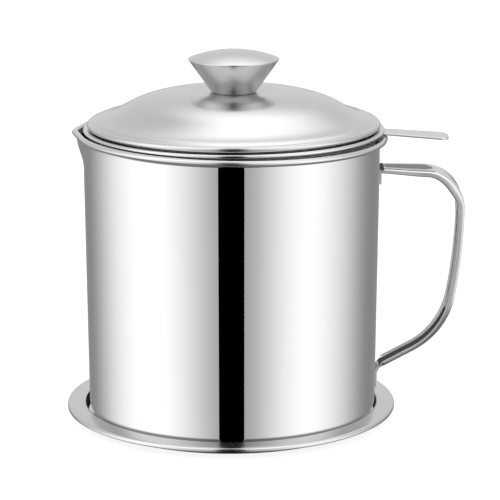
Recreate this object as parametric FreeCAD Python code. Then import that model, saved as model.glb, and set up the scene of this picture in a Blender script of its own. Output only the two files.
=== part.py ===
import FreeCAD, Part
import math
import os

# Stainless steel grease container: a drip tray, a pouring pot with a strap handle, a drop-in
# strainer with a lift tab, and a domed lid with a hollow knob.
# Millimetres. +Z is up, +X points to the handle and -X to the pouring spout.
# The origin is on the pot's axis, in the plane that the tray rests on.

# ---- clearances -------------------------------------------------------------------------------
seat_gap = 0.3            # between curved pieces that rest on each other and come apart
fit_gap = 0.05            # between pieces that are assembled for good
seat_shift = 0.9          # how far strainer and lid stand from the pot's axis, towards the handle
tray_shift = 0.5          # how far the tray stands from the pot's axis, away from the handle

# ---- pot --------------------------------------------------------------------------------------
pot_radius = 64.2         # outside, at the top of the straight wall
pot_draft = 1.1           # how much smaller the outside radius is at the base
pot_sheet = 0.6
pot_foot_bend = 2.0
pot_base_recess = 0.8     # how far the base is pressed up inside the foot ring
pot_foot_ring = 7.0       # width of the ring that the pot stands on
neck_height = 112.0       # top of the straight wall over the table
neck_rise = 12.4          # from there up to the middle of the rolled bead, on the pot's axis
rim_flare = 2.05          # from the straight wall's outside to the middle of the bead
rim_tilt = 0.93           # degrees: the bead rises towards the spout
bead_radius = 1.35
bead_inset = 0.15         # how deep the wall's inner face enters the bead
spout_push = 1.85         # how far outside the round rim the spout's straight sides would meet
spout_half_angle = 16.0   # degrees each side of -X where the straight sides would cross the rim
spout_side_radius = 20.0  # blends each straight side into the round rim
spout_nose_radius = 6.0

# ---- drip tray --------------------------------------------------------------------------------
tray_sheet = 0.6
tray_flange = 8.3         # from the well's wall to the tray's edge
tray_height = 5.2         # top of the flange over the table
tray_lip_drop = 1.75      # how far the turned-down edge reaches below the flange's top
tray_floor_bend = 1.4
tray_flange_bend = 0.9
tray_lip_bend = 0.9
pot_to_tray = 1.0         # radial room between the pot's foot and the well

# ---- handle -----------------------------------------------------------------------------------
strap_sheet = 1.0
strap_under_neck = 1.3    # from the top of the straight wall down to the strap
upper_arm_dip = 2.05       # degrees below level
upper_arm_length = 21.05
upper_bend_radius = 16.9
upper_bend_turn = 89.35    # degrees
grip_straight = 4.6
grip_radius = 242.0
grip_turn = 8.25           # degrees
lower_bend_radius = 34.95
lower_bend_turn = 52.0    # degrees
# Width of the strap, and depth from its outer face to the edge of its folded sides
strap_root = (13.8, 1.7)
strap_shoulder = (18.4, 2.6)
strap_grip = (19.0, 3.1)
strap_grip_end = (16.4, 2.7)
strap_lower = (12.5, 2.05)
strap_corner = 0.8        # bevel between the strap's face and its folded sides
strap_step = 4.6          # along the strap, between the sections that shape it
tongue_width = 10.0       # the two ends that are welded to the wall
upper_tongue = 6.7        # how far they reach down the wall
lower_tongue = 10.0

# ---- strainer ---------------------------------------------------------------------------------
collar_sheet = 0.5
collar_over_neck = 2.0    # from the top of the pot's straight wall up to the collar's foot
lip_over_bead = 0.9       # the tilted bead needs more than seat_gap
lip_inside_bead = 1.05    # from the middle of the bead in to the lip's outer edge
lip_height = 1.1
lip_bend = 0.45
wire_diameter = 0.35
bowl_depth = 40.0
bowl_flat_radius = 6.0    # the flat spot at the bottom of the bowl
hoop_sheet = 0.5
hoop_height = 6.0
tab_sheet = 1.0
tab_dip = 4.1             # degrees below level
tab_overhang = 27.55      # from the middle of the bead to the tip
tab_root_width = 11.5
tab_tip_width = 15.4
tab_tip_corner = 4.0
tab_foot_drop = 4.6       # how far the foot reaches down the collar's wall

# ---- lid --------------------------------------------------------------------------------------
lid_sheet = 0.6
lid_inside_lip = 1.75     # from the strainer's lip in to the lid's edge
lid_edge_roll = 1.3       # radius of the rolled edge
lid_seat_radius = 10.3    # flat under the knob
lid_seat_height = 15.0    # over the lid's lower edge
# Outside of the pressed dome: (distance in from the lid's edge, height over its lower edge)
lid_dome = [(44.45, 15.45), (34.45, 14.8), (25.45, 12.85), (18.45, 10.15), (14.45, 7.95), (9.45, 5.5),
            (4.45, 3.7)]
skirt_play = 0.7          # between the lid's skirt and the strainer's collar
skirt_drop = 4.4          # below the lid's lower edge

# ---- knob -------------------------------------------------------------------------------------
knob_sheet = 0.7
knob_foot_radius = 9.65
knob_mouth_radius = 19.4
knob_height = 13.9        # of the cone
cap_brim = 0.25           # how far the cap stands out over the cone
cap_rim_height = 0.6
cap_crown = 3.75          # how far the middle rises over the cap's rim
cap_spigot_drop = 2.2
screw_radius = 2.0
screw_bore_gap = 0.06
screw_end = 0.5           # how far the screw stands out of the nut
screw_head_radius = 3.9
screw_head_height = 2.4
screw_slit = 0.8
nut_across_flats = 7.0
nut_height = 5.0
flat_washer_radius = 4.5
flat_washer_height = 0.8
spring_washer_radius = 3.6
spring_washer_height = 1.0
spring_washer_slot = 0.8

# ---- sizes that follow ------------------------------------------------------------------------
pot_base = tray_sheet
pot_foot_radius = pot_radius - pot_draft
pot_bore = pot_radius - pot_sheet
tray_well_radius = pot_foot_radius + pot_to_tray
tray_radius = tray_well_radius + tray_flange
wall_taper = pot_draft / (neck_height - pot_base)
rim_height = neck_height + neck_rise
bead_path_radius = pot_radius + rim_flare
spout_reach = bead_path_radius + spout_push
bead_drop_at_tab = bead_path_radius * math.tan(math.radians(rim_tilt))
strap_top = neck_height - strap_under_neck
collar_radius = pot_bore - seat_shift - seat_gap
collar_foot = neck_height + collar_over_neck
collar_lip_radius = bead_path_radius - lip_inside_bead
collar_lip_edge = rim_height + bead_radius + lip_over_bead
mesh_radius = collar_radius - collar_sheet - fit_gap
cloth_sheet = 2 * wire_diameter
tab_top = rim_height - bead_drop_at_tab + bead_radius + seat_gap + tab_sheet
tab_reach = bead_path_radius + tab_overhang
lid_base = collar_lip_edge + lip_height + seat_gap
lid_edge_radius = collar_lip_radius - lid_inside_lip
skirt_radius = collar_radius - collar_sheet - skirt_play
knob_base = lid_base + lid_seat_height
knob_floor = knob_base + knob_sheet
knob_top = knob_base + knob_height
cap_radius = knob_mouth_radius + cap_brim
washer_top = knob_base - lid_sheet
screw_bore = screw_radius + screw_bore_gap
under_head = washer_top - flat_washer_height - spring_washer_height
screw_tip = knob_floor + nut_height + screw_end


def vector(r, z):
    """A point of the XZ plane, r from the axis."""
    return FreeCAD.Vector(r, 0, z)


def offset_points(points, distance):
    """The open outline moved to its left by distance, with mitred corners."""
    normals = []
    for (r0, z0), (r1, z1) in zip(points, points[1:]):
        length = math.hypot(r1 - r0, z1 - z0)
        normals.append((-(z1 - z0) / length, (r1 - r0) / length))
    moved = []
    for index, (r, z) in enumerate(points):
        before = normals[max(index - 1, 0)]
        after = normals[min(index, len(normals) - 1)]
        share = distance / (1 + before[0] * after[0] + before[1] * after[1])
        moved.append((r + share * (before[0] + after[0]), z + share * (before[1] + after[1])))
    return moved


def rounded_path(points, radii):
    """Lines through points, with an arc of the given radius at each inner point."""
    edges = []
    start = vector(*points[0])
    for here, following, radius in zip(points[1:], points[2:], radii):
        corner = vector(*here)
        to_start = (start - corner).normalize()
        to_end = (vector(*following) - corner).normalize()
        half = to_start.getAngle(to_end) / 2
        trim = radius / math.tan(half)
        middle = (to_start + to_end).normalize()
        tangent_in = corner + to_start * trim
        tangent_out = corner + to_end * trim
        crown = corner + middle * (radius / math.sin(half) - radius)
        edges.append(Part.makeLine(start, tangent_in))
        edges.append(Part.Arc(tangent_in, crown, tangent_out).toShape())
        start = tangent_out
    edges.append(Part.makeLine(start, vector(*points[-1])))
    return edges


def turns_left(before, here, after):
    """True where the outline bends to its left at here."""
    cross = (here[0] - before[0]) * (after[1] - here[1]) - (here[1] - before[1]) * (after[0] - here[0])
    return cross > 0


def sheet_face(points, radii, thickness):
    """The section of a bent sheet: points run along one face, the other face is to their left."""
    other = offset_points(points, thickness)
    other_radii = []
    for index, radius in enumerate(radii):
        left = turns_left(*points[index:index + 3])
        other_radii.append(radius - thickness if left else radius + thickness)
    edges = rounded_path(points, radii)
    edges.append(Part.makeLine(vector(*points[-1]), vector(*other[-1])))
    edges += rounded_path(other, other_radii)
    edges.append(Part.makeLine(vector(*other[0]), vector(*points[0])))
    return Part.Face(Part.Wire(Part.__sortEdges__(edges)))


def polygon_face(points):
    """A face in the XZ plane bounded by straight lines through points."""
    corners = [vector(*point) for point in points]
    return Part.Face(Part.makePolygon(corners + corners[:1]))


def spun(face, degrees=360.0):
    """The solid swept by a face of the XZ plane as it turns about the pot's axis."""
    return face.revolve(FreeCAD.Vector(), FreeCAD.Vector(0, 0, 1), degrees)


def spun_about_x(face, degrees):
    """As spun, for part of a turn that lies evenly on both sides of +X."""
    solid = spun(face, degrees)
    solid.rotate(FreeCAD.Vector(), FreeCAD.Vector(0, 0, 1), -degrees / 2)
    return solid


def tube(outer, inner, low, high):
    """A plain ring about the pot's axis."""
    return spun(polygon_face([(inner, low), (outer, low), (outer, high), (inner, high)]))


def seated(solid):
    """Moves a piece of the strainer or lid to where it stands in the pot's mouth."""
    solid.translate(FreeCAD.Vector(seat_shift, 0, 0))
    return solid


def wall_radius(z):
    """Outside radius of the pot's straight wall at height z."""
    return pot_foot_radius + wall_taper * (z - pot_base)


# ---- tray -------------------------------------------------------------------------------------
def make_drip_tray():
    """A pressed round dish whose well takes the foot of the pot."""
    wall = tray_well_radius + tray_sheet
    shoulder = tray_height - tray_sheet
    edge = tray_radius - tray_sheet
    outline = [(0, 0), (wall, 0), (wall, shoulder), (edge, shoulder), (edge, tray_height - tray_lip_drop)]
    bends = [tray_floor_bend, tray_flange_bend, tray_lip_bend]
    tray = spun(sheet_face(outline, bends, tray_sheet))
    tray.translate(FreeCAD.Vector(-tray_shift, 0, 0))
    return tray


# ---- pot --------------------------------------------------------------------------------------
def rim_arcs():
    """The arcs of the rim's middle line, anticlockwise: (centre x, centre y, radius, start, end).

    They are the round rim, a blend, the spout's nose and the other blend. Straight sides join the
    blends to the nose. The angles are in radians from +X.
    """
    half = math.radians(spout_half_angle)
    cross_x, cross_y = bead_path_radius * math.cos(half), bead_path_radius * math.sin(half)
    lean = math.atan2(spout_reach - cross_x, cross_y)
    to_blend = bead_path_radius - spout_side_radius
    swing = math.acos((spout_reach * math.cos(lean) - spout_side_radius) / to_blend)
    leave, side = math.pi - lean - swing, math.pi - lean
    blend_x, blend_y = to_blend * math.cos(leave), to_blend * math.sin(leave)
    nose_x = spout_nose_radius / math.cos(lean) - spout_reach
    whole = 2 * math.pi
    return [
        (0, 0, bead_path_radius, -leave, leave),
        (blend_x, blend_y, spout_side_radius, leave, side),
        (nose_x, 0, spout_nose_radius, side, whole - side),
        (blend_x, -blend_y, spout_side_radius, whole - side, whole - leave),
    ]


def rim_points(inset):
    """Start, middle and end of each of the rim's arcs, moved inwards by inset and level."""
    return [[FreeCAD.Vector(x + (radius - inset) * math.cos(angle), y + (radius - inset) * math.sin(angle),
                            rim_height)
             for angle in (start, (start + end) / 2, end)]
            for x, y, radius, start, end in rim_arcs()]


def rim_wire(inset):
    """The rim's outline, moved inwards by inset and level."""
    around, blend, nose, other_blend = rim_points(inset)
    return Part.Wire([
        Part.Arc(*around).toShape(),
        Part.Arc(*blend).toShape(),
        Part.makeLine(blend[-1], nose[0]),
        Part.Arc(*nose).toShape(),
        Part.makeLine(nose[-1], other_blend[0]),
        Part.Arc(*other_blend).toShape(),
    ])


def neck_wire(radius):
    """The round outline where the neck starts, split in line with the six parts of the rim."""
    around, blend, nose, _ = rim_points(0)
    sides = [math.atan2(point.y, point.x) for point in (around[-1], blend[-1], nose[0])]
    angles = [-sides[0]] + sides + [2 * math.pi - side for side in reversed(sides)]
    edges = []
    for start, end in zip(angles, angles[1:]):
        points = [FreeCAD.Vector(radius * math.cos(angle), radius * math.sin(angle), neck_height)
                  for angle in (start, (start + end) / 2, end)]
        edges.append(Part.Arc(*points).toShape())
    return Part.Wire(edges)


def tilted(shape):
    """The rim's outline or bead, turned about its middle so that it rises towards the spout."""
    turned = shape.copy()
    turned.rotate(FreeCAD.Vector(0, 0, rim_height), FreeCAD.Vector(0, 1, 0), rim_tilt)
    return turned


def make_neck(radius, inset):
    """The solid that flares from the round wall to the rim's outline."""
    return Part.makeLoft([neck_wire(radius), tilted(rim_wire(inset))], True, True)


def make_bead():
    """The rolled edge, which follows the rim all the way round and over the spout."""
    points = rim_points(0)
    pieces = []
    for (x, y, _, start, end), (first, _, _) in zip(rim_arcs(), points):
        heading = FreeCAD.Vector(-math.sin(start), math.cos(start), 0)
        disc = Part.Face(Part.Wire(Part.makeCircle(bead_radius, first, heading)))
        turn = math.degrees(end - start)
        pieces.append(disc.revolve(FreeCAD.Vector(x, y, 0), FreeCAD.Vector(0, 0, 1), turn))
    _, blend, nose, other_blend = points
    for first, last in ((blend[-1], nose[0]), (nose[-1], other_blend[0])):
        along = last - first
        pieces.append(Part.makeCylinder(bead_radius, along.Length, first, along))
    return tilted(pieces[0].fuse(pieces[1:]))


def make_pot_body():
    """The drawn pot: a recessed base, a slightly tapered wall, a flared neck and a rolled rim."""
    recess_edge = pot_foot_radius - pot_foot_ring
    outline = [(0, pot_base + pot_base_recess), (recess_edge - pot_base_recess, pot_base + pot_base_recess),
               (recess_edge, pot_base), (pot_foot_radius, pot_base), (pot_radius, neck_height)]
    cup = spun(sheet_face(outline, [pot_base_recess, pot_base_recess + pot_sheet, pot_foot_bend], pot_sheet))
    inner_inset = bead_radius - bead_inset
    neck = make_neck(pot_radius, inner_inset - pot_sheet)
    mouth = make_neck(pot_bore, inner_inset)
    return cup.fuse(neck.cut(mouth)).fuse(make_bead().cut(mouth)).removeSplitter()


# ---- handle -----------------------------------------------------------------------------------
def strap_runs():
    """The strap's straight and curved runs down to its lower arm, each with its size at its end.

    Each entry is (length, turn in radians, (width, depth)).
    """
    def curve(radius, degrees, size):
        return radius * math.radians(degrees), math.radians(degrees), size

    return [
        (upper_arm_length, 0.0, strap_shoulder),
        curve(upper_bend_radius, upper_bend_turn, strap_grip),
        (grip_straight, 0.0, strap_grip),
        curve(grip_radius, grip_turn, strap_grip_end),
        curve(lower_bend_radius, lower_bend_turn, strap_lower),
    ]


def strap_stations():
    """Even steps along the strap, from wall to wall: (x, z, heading in radians, width, depth)."""
    x, z = pot_bore, strap_top
    heading = -math.radians(upper_arm_dip)
    width, depth = strap_root
    stations = [(x, z, heading, width, depth)]

    def add_run(length, turn, end_size):
        nonlocal x, z, heading, width, depth
        steps = max(1, round(length / strap_step))
        start_width, start_depth = width, depth
        half_turn = turn / steps / 2
        chord = length / steps * (math.sin(half_turn) / half_turn if half_turn else 1.0)
        for step in range(1, steps + 1):
            x += chord * math.cos(heading - half_turn)
            z += chord * math.sin(heading - half_turn)
            heading -= 2 * half_turn
            width = start_width + step / steps * (end_size[0] - start_width)
            depth = start_depth + step / steps * (end_size[1] - start_depth)
            stations.append((x, z, heading, width, depth))

    for run in strap_runs():
        add_run(*run)
    to_wall = (x - wall_radius(0)) / -math.cos(heading)
    add_run(to_wall, 0.0, strap_lower)
    return stations


def strap_section(x, z, heading, width, depth):
    """The channel section of the strap: a flat face with both sides folded towards the pot."""
    half = width / 2
    inner = half - strap_sheet
    outline = [(-half, depth), (-half, strap_corner), (-half + strap_corner, 0), (half - strap_corner, 0),
               (half, strap_corner), (half, depth), (inner, depth), (inner, strap_sheet),
               (-inner, strap_sheet), (-inner, depth)]
    inwards = FreeCAD.Vector(math.sin(heading), 0, -math.cos(heading))
    face = FreeCAD.Vector(x, 0, z)
    corners = [face + inwards * deep + FreeCAD.Vector(0, across, 0) for across, deep in outline]
    return Part.makePolygon(corners + corners[:1])


def make_tongue(head, length):
    """The end of the strap that lies against the pot's wall, where it is welded."""
    foot = head - length
    low, high = wall_radius(foot) + fit_gap, wall_radius(head) + fit_gap
    face = polygon_face([(low, foot), (low + strap_sheet, foot), (high + strap_sheet, head), (high, head)])
    return spun_about_x(face, math.degrees(tongue_width / wall_radius(foot)))


def make_pot_handle():
    """A pressed channel strap with a tongue at each end."""
    stations = strap_stations()
    lower_end = stations[-1][1]
    strap = Part.makeLoft([strap_section(*station) for station in stations], True, False)
    around_pot = spun(polygon_face([
        (0, 0), (wall_radius(0) + fit_gap, 0), (wall_radius(neck_height) + fit_gap, neck_height),
        (0, neck_height)]))
    lower_head = lower_end + strap_lower[1]
    tongues = [make_tongue(strap_top - strap_corner, upper_tongue), make_tongue(lower_head, lower_tongue)]
    return strap.cut(around_pot).fuse(tongues).removeSplitter()


# ---- strainer ---------------------------------------------------------------------------------
def make_strainer_collar():
    """The pressed ring that hangs in the pot's mouth: a wall and a turned-down lip."""
    shelf = collar_lip_edge + lip_height - collar_sheet
    edge = collar_lip_radius - collar_sheet
    outline = [(collar_radius, collar_foot), (collar_radius, shelf), (edge, shelf), (edge, collar_lip_edge)]
    return seated(spun(sheet_face(outline, [lip_bend, lip_bend], collar_sheet)))


def bowl_curve(radius, depth):
    """A quarter ellipse from the bowl's flat bottom to the upright edge of the mesh."""
    ellipse = Part.Ellipse(FreeCAD.Vector(radius - bowl_flat_radius, 0, 0), FreeCAD.Vector(0, depth, 0),
                           FreeCAD.Vector())
    quarter = Part.Arc(ellipse, 1.5 * math.pi, 2 * math.pi).toShape()
    quarter.rotate(FreeCAD.Vector(), FreeCAD.Vector(1, 0, 0), 90)
    quarter.translate(vector(bowl_flat_radius, collar_foot))
    return quarter


def make_strainer_mesh():
    """The wire cloth as a plain shell: a straight edge in the collar and a bowl below it."""
    outer = mesh_radius
    inner = outer - cloth_sheet
    top = collar_foot + hoop_height
    floor = collar_foot - bowl_depth
    under = floor - cloth_sheet
    edges = [
        bowl_curve(outer, bowl_depth + cloth_sheet),
        Part.makeLine(vector(outer, collar_foot), vector(outer, top)),
        Part.makeLine(vector(outer, top), vector(inner, top)),
        Part.makeLine(vector(inner, top), vector(inner, collar_foot)),
        bowl_curve(inner, bowl_depth),
        Part.makeLine(vector(bowl_flat_radius, floor), vector(0, floor)),
        Part.makeLine(vector(0, floor), vector(0, under)),
        Part.makeLine(vector(0, under), vector(bowl_flat_radius, under)),
    ]
    return seated(spun(Part.Face(Part.Wire(Part.__sortEdges__(edges)))))


def make_mesh_hoop():
    """The band inside the mesh's edge, which clamps it to the collar."""
    outer = mesh_radius - cloth_sheet - fit_gap
    return seated(tube(outer, outer - hoop_sheet, collar_foot, collar_foot + hoop_height))


def make_strainer_tab():
    """The flat lift tab: it slopes out over the rim and its foot is welded to the collar."""
    root = collar_radius + seat_shift
    slope = math.tan(math.radians(tab_dip))
    root_top = tab_top + slope * (bead_path_radius - root)
    tip_half, root_half = tab_tip_width / 2, tab_root_width / 2
    corners = [FreeCAD.Vector(root, -root_half, 0), FreeCAD.Vector(tab_reach, -tip_half, 0),
               FreeCAD.Vector(tab_reach, tip_half, 0), FreeCAD.Vector(root, root_half, 0)]
    plan = Part.Face(Part.makePolygon(corners + corners[:1]))
    blade = plan.extrude(FreeCAD.Vector(0, 0, -tab_sheet))
    tip_edges = [edge for edge in blade.Edges
                 if edge.BoundBox.XMin > tab_reach - tab_sheet and edge.BoundBox.ZLength > tab_sheet / 2]
    blade = blade.makeFillet(tab_tip_corner, tip_edges)
    blade.rotate(FreeCAD.Vector(root, 0, 0), FreeCAD.Vector(0, 1, 0), tab_dip)
    blade.translate(FreeCAD.Vector(0, 0, root_top))
    wall = collar_radius + fit_gap
    foot_face = polygon_face([(wall, root_top - tab_foot_drop), (wall + tab_sheet, root_top - tab_foot_drop),
                              (wall + tab_sheet, root_top - tab_sheet * slope), (wall, root_top)])
    foot = seated(spun_about_x(foot_face, math.degrees(tab_root_width / collar_radius)))
    room = seated(tube(wall, 0, 0, root_top + tab_sheet))
    return blade.cut(room).fuse(foot).removeSplitter()


# ---- lid --------------------------------------------------------------------------------------
def make_lid_shell():
    """The pressed lid: a dome, a flat seat for the knob, a rolled edge and a skirt that centres it."""
    roll_radius = lid_edge_radius - lid_edge_roll
    seat = (lid_seat_radius, lid_seat_height)
    dome_points = [seat] + [(lid_edge_radius - inset, height) for inset, height in lid_dome]
    dome_points.append((roll_radius, 2 * lid_edge_roll))
    skirt_inside = skirt_radius - lid_sheet
    under_points = [point for point in dome_points if point[0] < skirt_inside]

    def place(point, drop=0.0):
        return vector(point[0], lid_base + point[1] - drop)

    def curve(points, drop):
        line = Part.BSplineCurve()
        line.interpolate([place(point, drop) for point in points])
        return line.toShape()

    edge_low = place((roll_radius, 0))
    edge_side = place((lid_edge_radius, lid_edge_roll))
    last_under = place(under_points[-1], lid_sheet)
    bore_edge = (screw_bore, lid_seat_height)
    outline = [place(bore_edge, lid_sheet), place(bore_edge), place(seat)]
    edges = [Part.makeLine(a, b) for a, b in zip(outline, outline[1:])]
    edges.append(curve(dome_points, 0))
    edges.append(Part.Arc(place(dome_points[-1]), edge_side, edge_low).toShape())
    inside = [edge_low, place((skirt_radius, 0)), place((skirt_radius, -skirt_drop)),
              place((skirt_inside, -skirt_drop)), vector(skirt_inside, last_under.z), last_under]
    edges += [Part.makeLine(a, b) for a, b in zip(inside, inside[1:])]
    edges.append(curve(under_points, lid_sheet))
    edges.append(Part.makeLine(place(seat, lid_sheet), outline[0]))
    return seated(spun(Part.Face(Part.Wire(Part.__sortEdges__(edges)))))


# ---- knob -------------------------------------------------------------------------------------
def cone_inside(z):
    """Inside radius of the knob's cone at height z."""
    lean = math.atan2(knob_mouth_radius - knob_foot_radius, knob_height)
    outside = knob_mouth_radius - (knob_top - z) * math.tan(lean)
    return outside - knob_sheet / math.cos(lean)


def make_knob_cone():
    """The hollow body of the knob, open at the top, with a floor that the screw passes through."""
    return seated(spun(polygon_face([
        (screw_bore, knob_base), (knob_foot_radius, knob_base), (knob_mouth_radius, knob_top),
        (cone_inside(knob_top), knob_top), (cone_inside(knob_floor), knob_floor), (screw_bore, knob_floor)])))


def make_knob_cap():
    """The crowned cap that closes the cone, with a spigot that grips inside the cone's mouth."""
    rim_top = knob_top + cap_rim_height
    crown_radius = (cap_radius ** 2 + cap_crown ** 2) / (2 * cap_crown)
    low = knob_top - cap_spigot_drop
    grip_top, grip_low = cone_inside(knob_top) - fit_gap, cone_inside(low) - fit_gap
    wall_low, wall_top = grip_low - knob_sheet, grip_top - knob_sheet

    def crown(radius, drop):
        middle = radius / 2
        centre = rim_top + cap_crown - crown_radius
        heights = [math.sqrt(crown_radius ** 2 - r ** 2) + centre - drop for r in (radius, middle, 0)]
        points = [vector(r, z) for r, z in zip((radius, middle, 0), heights)]
        return Part.Arc(*points).toShape(), points

    top_arc, top = crown(cap_radius, 0)
    under_arc, under = crown(wall_top, knob_sheet)
    corners = [top[0], vector(cap_radius, knob_top), vector(grip_top, knob_top), vector(grip_low, low),
               vector(wall_low, low), vector(wall_top, knob_top), under[0]]
    edges = [Part.makeLine(a, b) for a, b in zip(corners, corners[1:])]
    edges += [top_arc, under_arc, Part.makeLine(under[2], top[2])]
    return seated(spun(Part.Face(Part.Wire(Part.__sortEdges__(edges)))))


def make_knob_nut():
    """The nut inside the cone that the lid's screw pulls on."""
    corner_radius = nut_across_flats / math.sqrt(3)
    corners = [FreeCAD.Vector(corner_radius * math.cos(math.radians(60 * side)),
                              corner_radius * math.sin(math.radians(60 * side)), knob_floor)
               for side in range(7)]
    block = Part.Face(Part.makePolygon(corners)).extrude(FreeCAD.Vector(0, 0, nut_height))
    bore = Part.makeCylinder(screw_bore, nut_height, FreeCAD.Vector(0, 0, knob_floor))
    return seated(block.cut(bore))


def make_flat_washer():
    """The plain washer against the lid's underside."""
    return seated(tube(flat_washer_radius, screw_bore, washer_top - flat_washer_height, washer_top))


def make_spring_washer():
    """The split washer that keeps the screw tight."""
    ring = tube(spring_washer_radius, screw_bore, under_head, under_head + spring_washer_height)
    slot = Part.makeBox(spring_washer_radius, spring_washer_slot, spring_washer_height,
                        FreeCAD.Vector(0, -spring_washer_slot / 2, under_head))
    return seated(ring.cut(slot))


def make_knob_screw():
    """The pan-head screw that holds the knob on the lid, with a cross recess in its head."""
    head_low = under_head - screw_head_height
    recess = screw_head_height / 2
    shank = Part.makeCylinder(screw_radius, screw_tip - under_head, FreeCAD.Vector(0, 0, under_head))
    head = Part.makeCylinder(screw_head_radius, screw_head_height, FreeCAD.Vector(0, 0, head_low))
    low_rim = [edge for edge in head.Edges if edge.BoundBox.ZMax < head_low + recess]
    head = head.makeFillet(recess, low_rim)
    arm = screw_head_radius
    slit = Part.makeBox(arm, screw_slit, recess, FreeCAD.Vector(-arm / 2, -screw_slit / 2, head_low))
    across = Part.makeBox(screw_slit, arm, recess, FreeCAD.Vector(-screw_slit / 2, -arm / 2, head_low))
    return seated(head.cut(slit).cut(across).fuse(shank).removeSplitter())


makers = {
    "drip_tray": make_drip_tray,
    "pot_body": make_pot_body,
    "pot_handle": make_pot_handle,
    "strainer_collar": make_strainer_collar,
    "strainer_tab": make_strainer_tab,
    "strainer_mesh": make_strainer_mesh,
    "mesh_hoop": make_mesh_hoop,
    "lid_shell": make_lid_shell,
    "knob_cone": make_knob_cone,
    "knob_cap": make_knob_cap,
    "knob_nut": make_knob_nut,
    "knob_flat_washer": make_flat_washer,
    "knob_spring_washer": make_spring_washer,
    "knob_screw": make_knob_screw,
}

os.makedirs("parts", exist_ok=True)
for node, maker in makers.items():
    shape = maker()
    shape.exportStep("parts/" + node + ".step")
    box = shape.BoundBox
    print(f"{node}: {len(shape.Solids)} solid, valid {shape.isValid()}, volume {shape.Volume:.1f},"
          f" x {box.XMin:.2f} to {box.XMax:.2f}, y {box.YMin:.2f} to {box.YMax:.2f},"
          f" z {box.ZMin:.2f} to {box.ZMax:.2f}")
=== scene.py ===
import logging
import math
from collections.abc import Callable
from dataclasses import dataclass
from enum import Enum

import bmesh
import bpy
import numpy as np
from mathutils import Matrix, Vector


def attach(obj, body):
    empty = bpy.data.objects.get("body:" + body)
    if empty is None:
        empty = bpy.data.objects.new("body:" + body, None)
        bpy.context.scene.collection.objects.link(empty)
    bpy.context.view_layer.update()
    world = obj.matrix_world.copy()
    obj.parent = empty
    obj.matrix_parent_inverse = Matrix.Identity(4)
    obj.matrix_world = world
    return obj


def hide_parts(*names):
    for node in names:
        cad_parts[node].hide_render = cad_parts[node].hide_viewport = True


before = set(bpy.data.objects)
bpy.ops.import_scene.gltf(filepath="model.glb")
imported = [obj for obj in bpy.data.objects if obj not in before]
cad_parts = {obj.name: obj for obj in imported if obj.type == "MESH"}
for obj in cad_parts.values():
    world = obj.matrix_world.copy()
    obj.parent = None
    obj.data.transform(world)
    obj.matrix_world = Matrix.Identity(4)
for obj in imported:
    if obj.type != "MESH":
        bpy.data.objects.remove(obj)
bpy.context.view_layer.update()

# The looks of a stainless steel grease container. Sizes are in millimetres, turned into metres
# when a mesh is made. +Z is up, +X points to the handle, -X to the pouring spout.

MM = 0.001
SEAT_SHIFT = 0.9          # how far strainer and lid stand off the pot's axis, towards the handle
TRAY_SHIFT = -0.5         # how far the tray stands off it, the other way
Point = tuple[float, float]
log = logging.getLogger("grease_container")


class Body(Enum):
    """The four things that come apart by hand."""

    TRAY = "tray"
    POT = "pot"
    STRAINER = "strainer"
    LID = "lid"


class Slot(Enum):
    """The record's material slots."""

    MIRROR = "mirror_steel"
    HANDLE = "handle_steel"
    RIM = "rim_steel"
    SATIN = "satin_steel"
    TRAY = "tray_steel"
    WIRE = "mesh_wire"
    ZINC = "zinc_steel"


class Grain(Enum):
    """Which way a finish's fine polishing marks run."""

    ROUND = "round"
    LONG = "long"


# ---- node graphs --------------------------------------------------------------------------------
class Graph:
    """A node tree that is being built."""

    def __init__(self, tree: bpy.types.NodeTree) -> None:
        """Starts on an existing tree.

        Args:
            tree: the material's, world's or group's node tree.
        """
        self.tree = tree

    def add(self, kind: str, inputs: dict | None = None, **settings: object) -> bpy.types.Node:
        """Adds a node.

        Args:
            kind: the node's type name.
            inputs: values or sockets for its inputs, by name or number.
            settings: the node's own properties.

        Returns:
            The new node.
        """
        node = self.tree.nodes.new(kind)
        for key, value in settings.items():
            setattr(node, key, value)
        for key, value in (inputs or {}).items():
            if isinstance(value, bpy.types.NodeSocket):
                self.tree.links.new(value, node.inputs[key])
            else:
                node.inputs[key].default_value = value
        return node

    def math(self, operation: str, *values: object) -> bpy.types.NodeSocket:
        """Adds a Math node.

        Args:
            operation: the node's operation.
            values: up to three numbers or sockets.

        Returns:
            Its output.
        """
        node = self.add("ShaderNodeMath", dict(enumerate(values)), operation=operation)
        return node.outputs[0]

    def vector(self, operation: str, first: object, second: object, output: str) -> bpy.types.NodeSocket:
        """Adds a Vector Math node.

        Args:
            operation: the node's operation.
            first: a vector or socket.
            second: a vector or socket.
            output: which of its outputs to give back.

        Returns:
            That output.
        """
        node = self.add("ShaderNodeVectorMath", {0: first, 1: second}, operation=operation)
        return node.outputs[output]

    def ramp(self, value: bpy.types.NodeSocket, start: float, end: float) -> bpy.types.NodeSocket:
        """Turns a value into a soft step.

        Args:
            value: what is compared.
            start: where the step gives 0.
            end: where it gives 1.

        Returns:
            The step, from 0 to 1.
        """
        node = self.add("ShaderNodeMapRange", {"Value": value, "From Min": start, "From Max": end},
                        interpolation_type="SMOOTHSTEP")
        return node.outputs["Result"]

    def mix(self, share: object, first: object, second: object) -> bpy.types.NodeSocket:
        """Mixes two numbers.

        Args:
            share: 0 gives the first, 1 the second.
            first: a number or socket.
            second: a number or socket.

        Returns:
            The mix.
        """
        node = self.add("ShaderNodeMix", {0: share, 2: first, 3: second}, data_type="FLOAT")
        return node.outputs[0]


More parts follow.
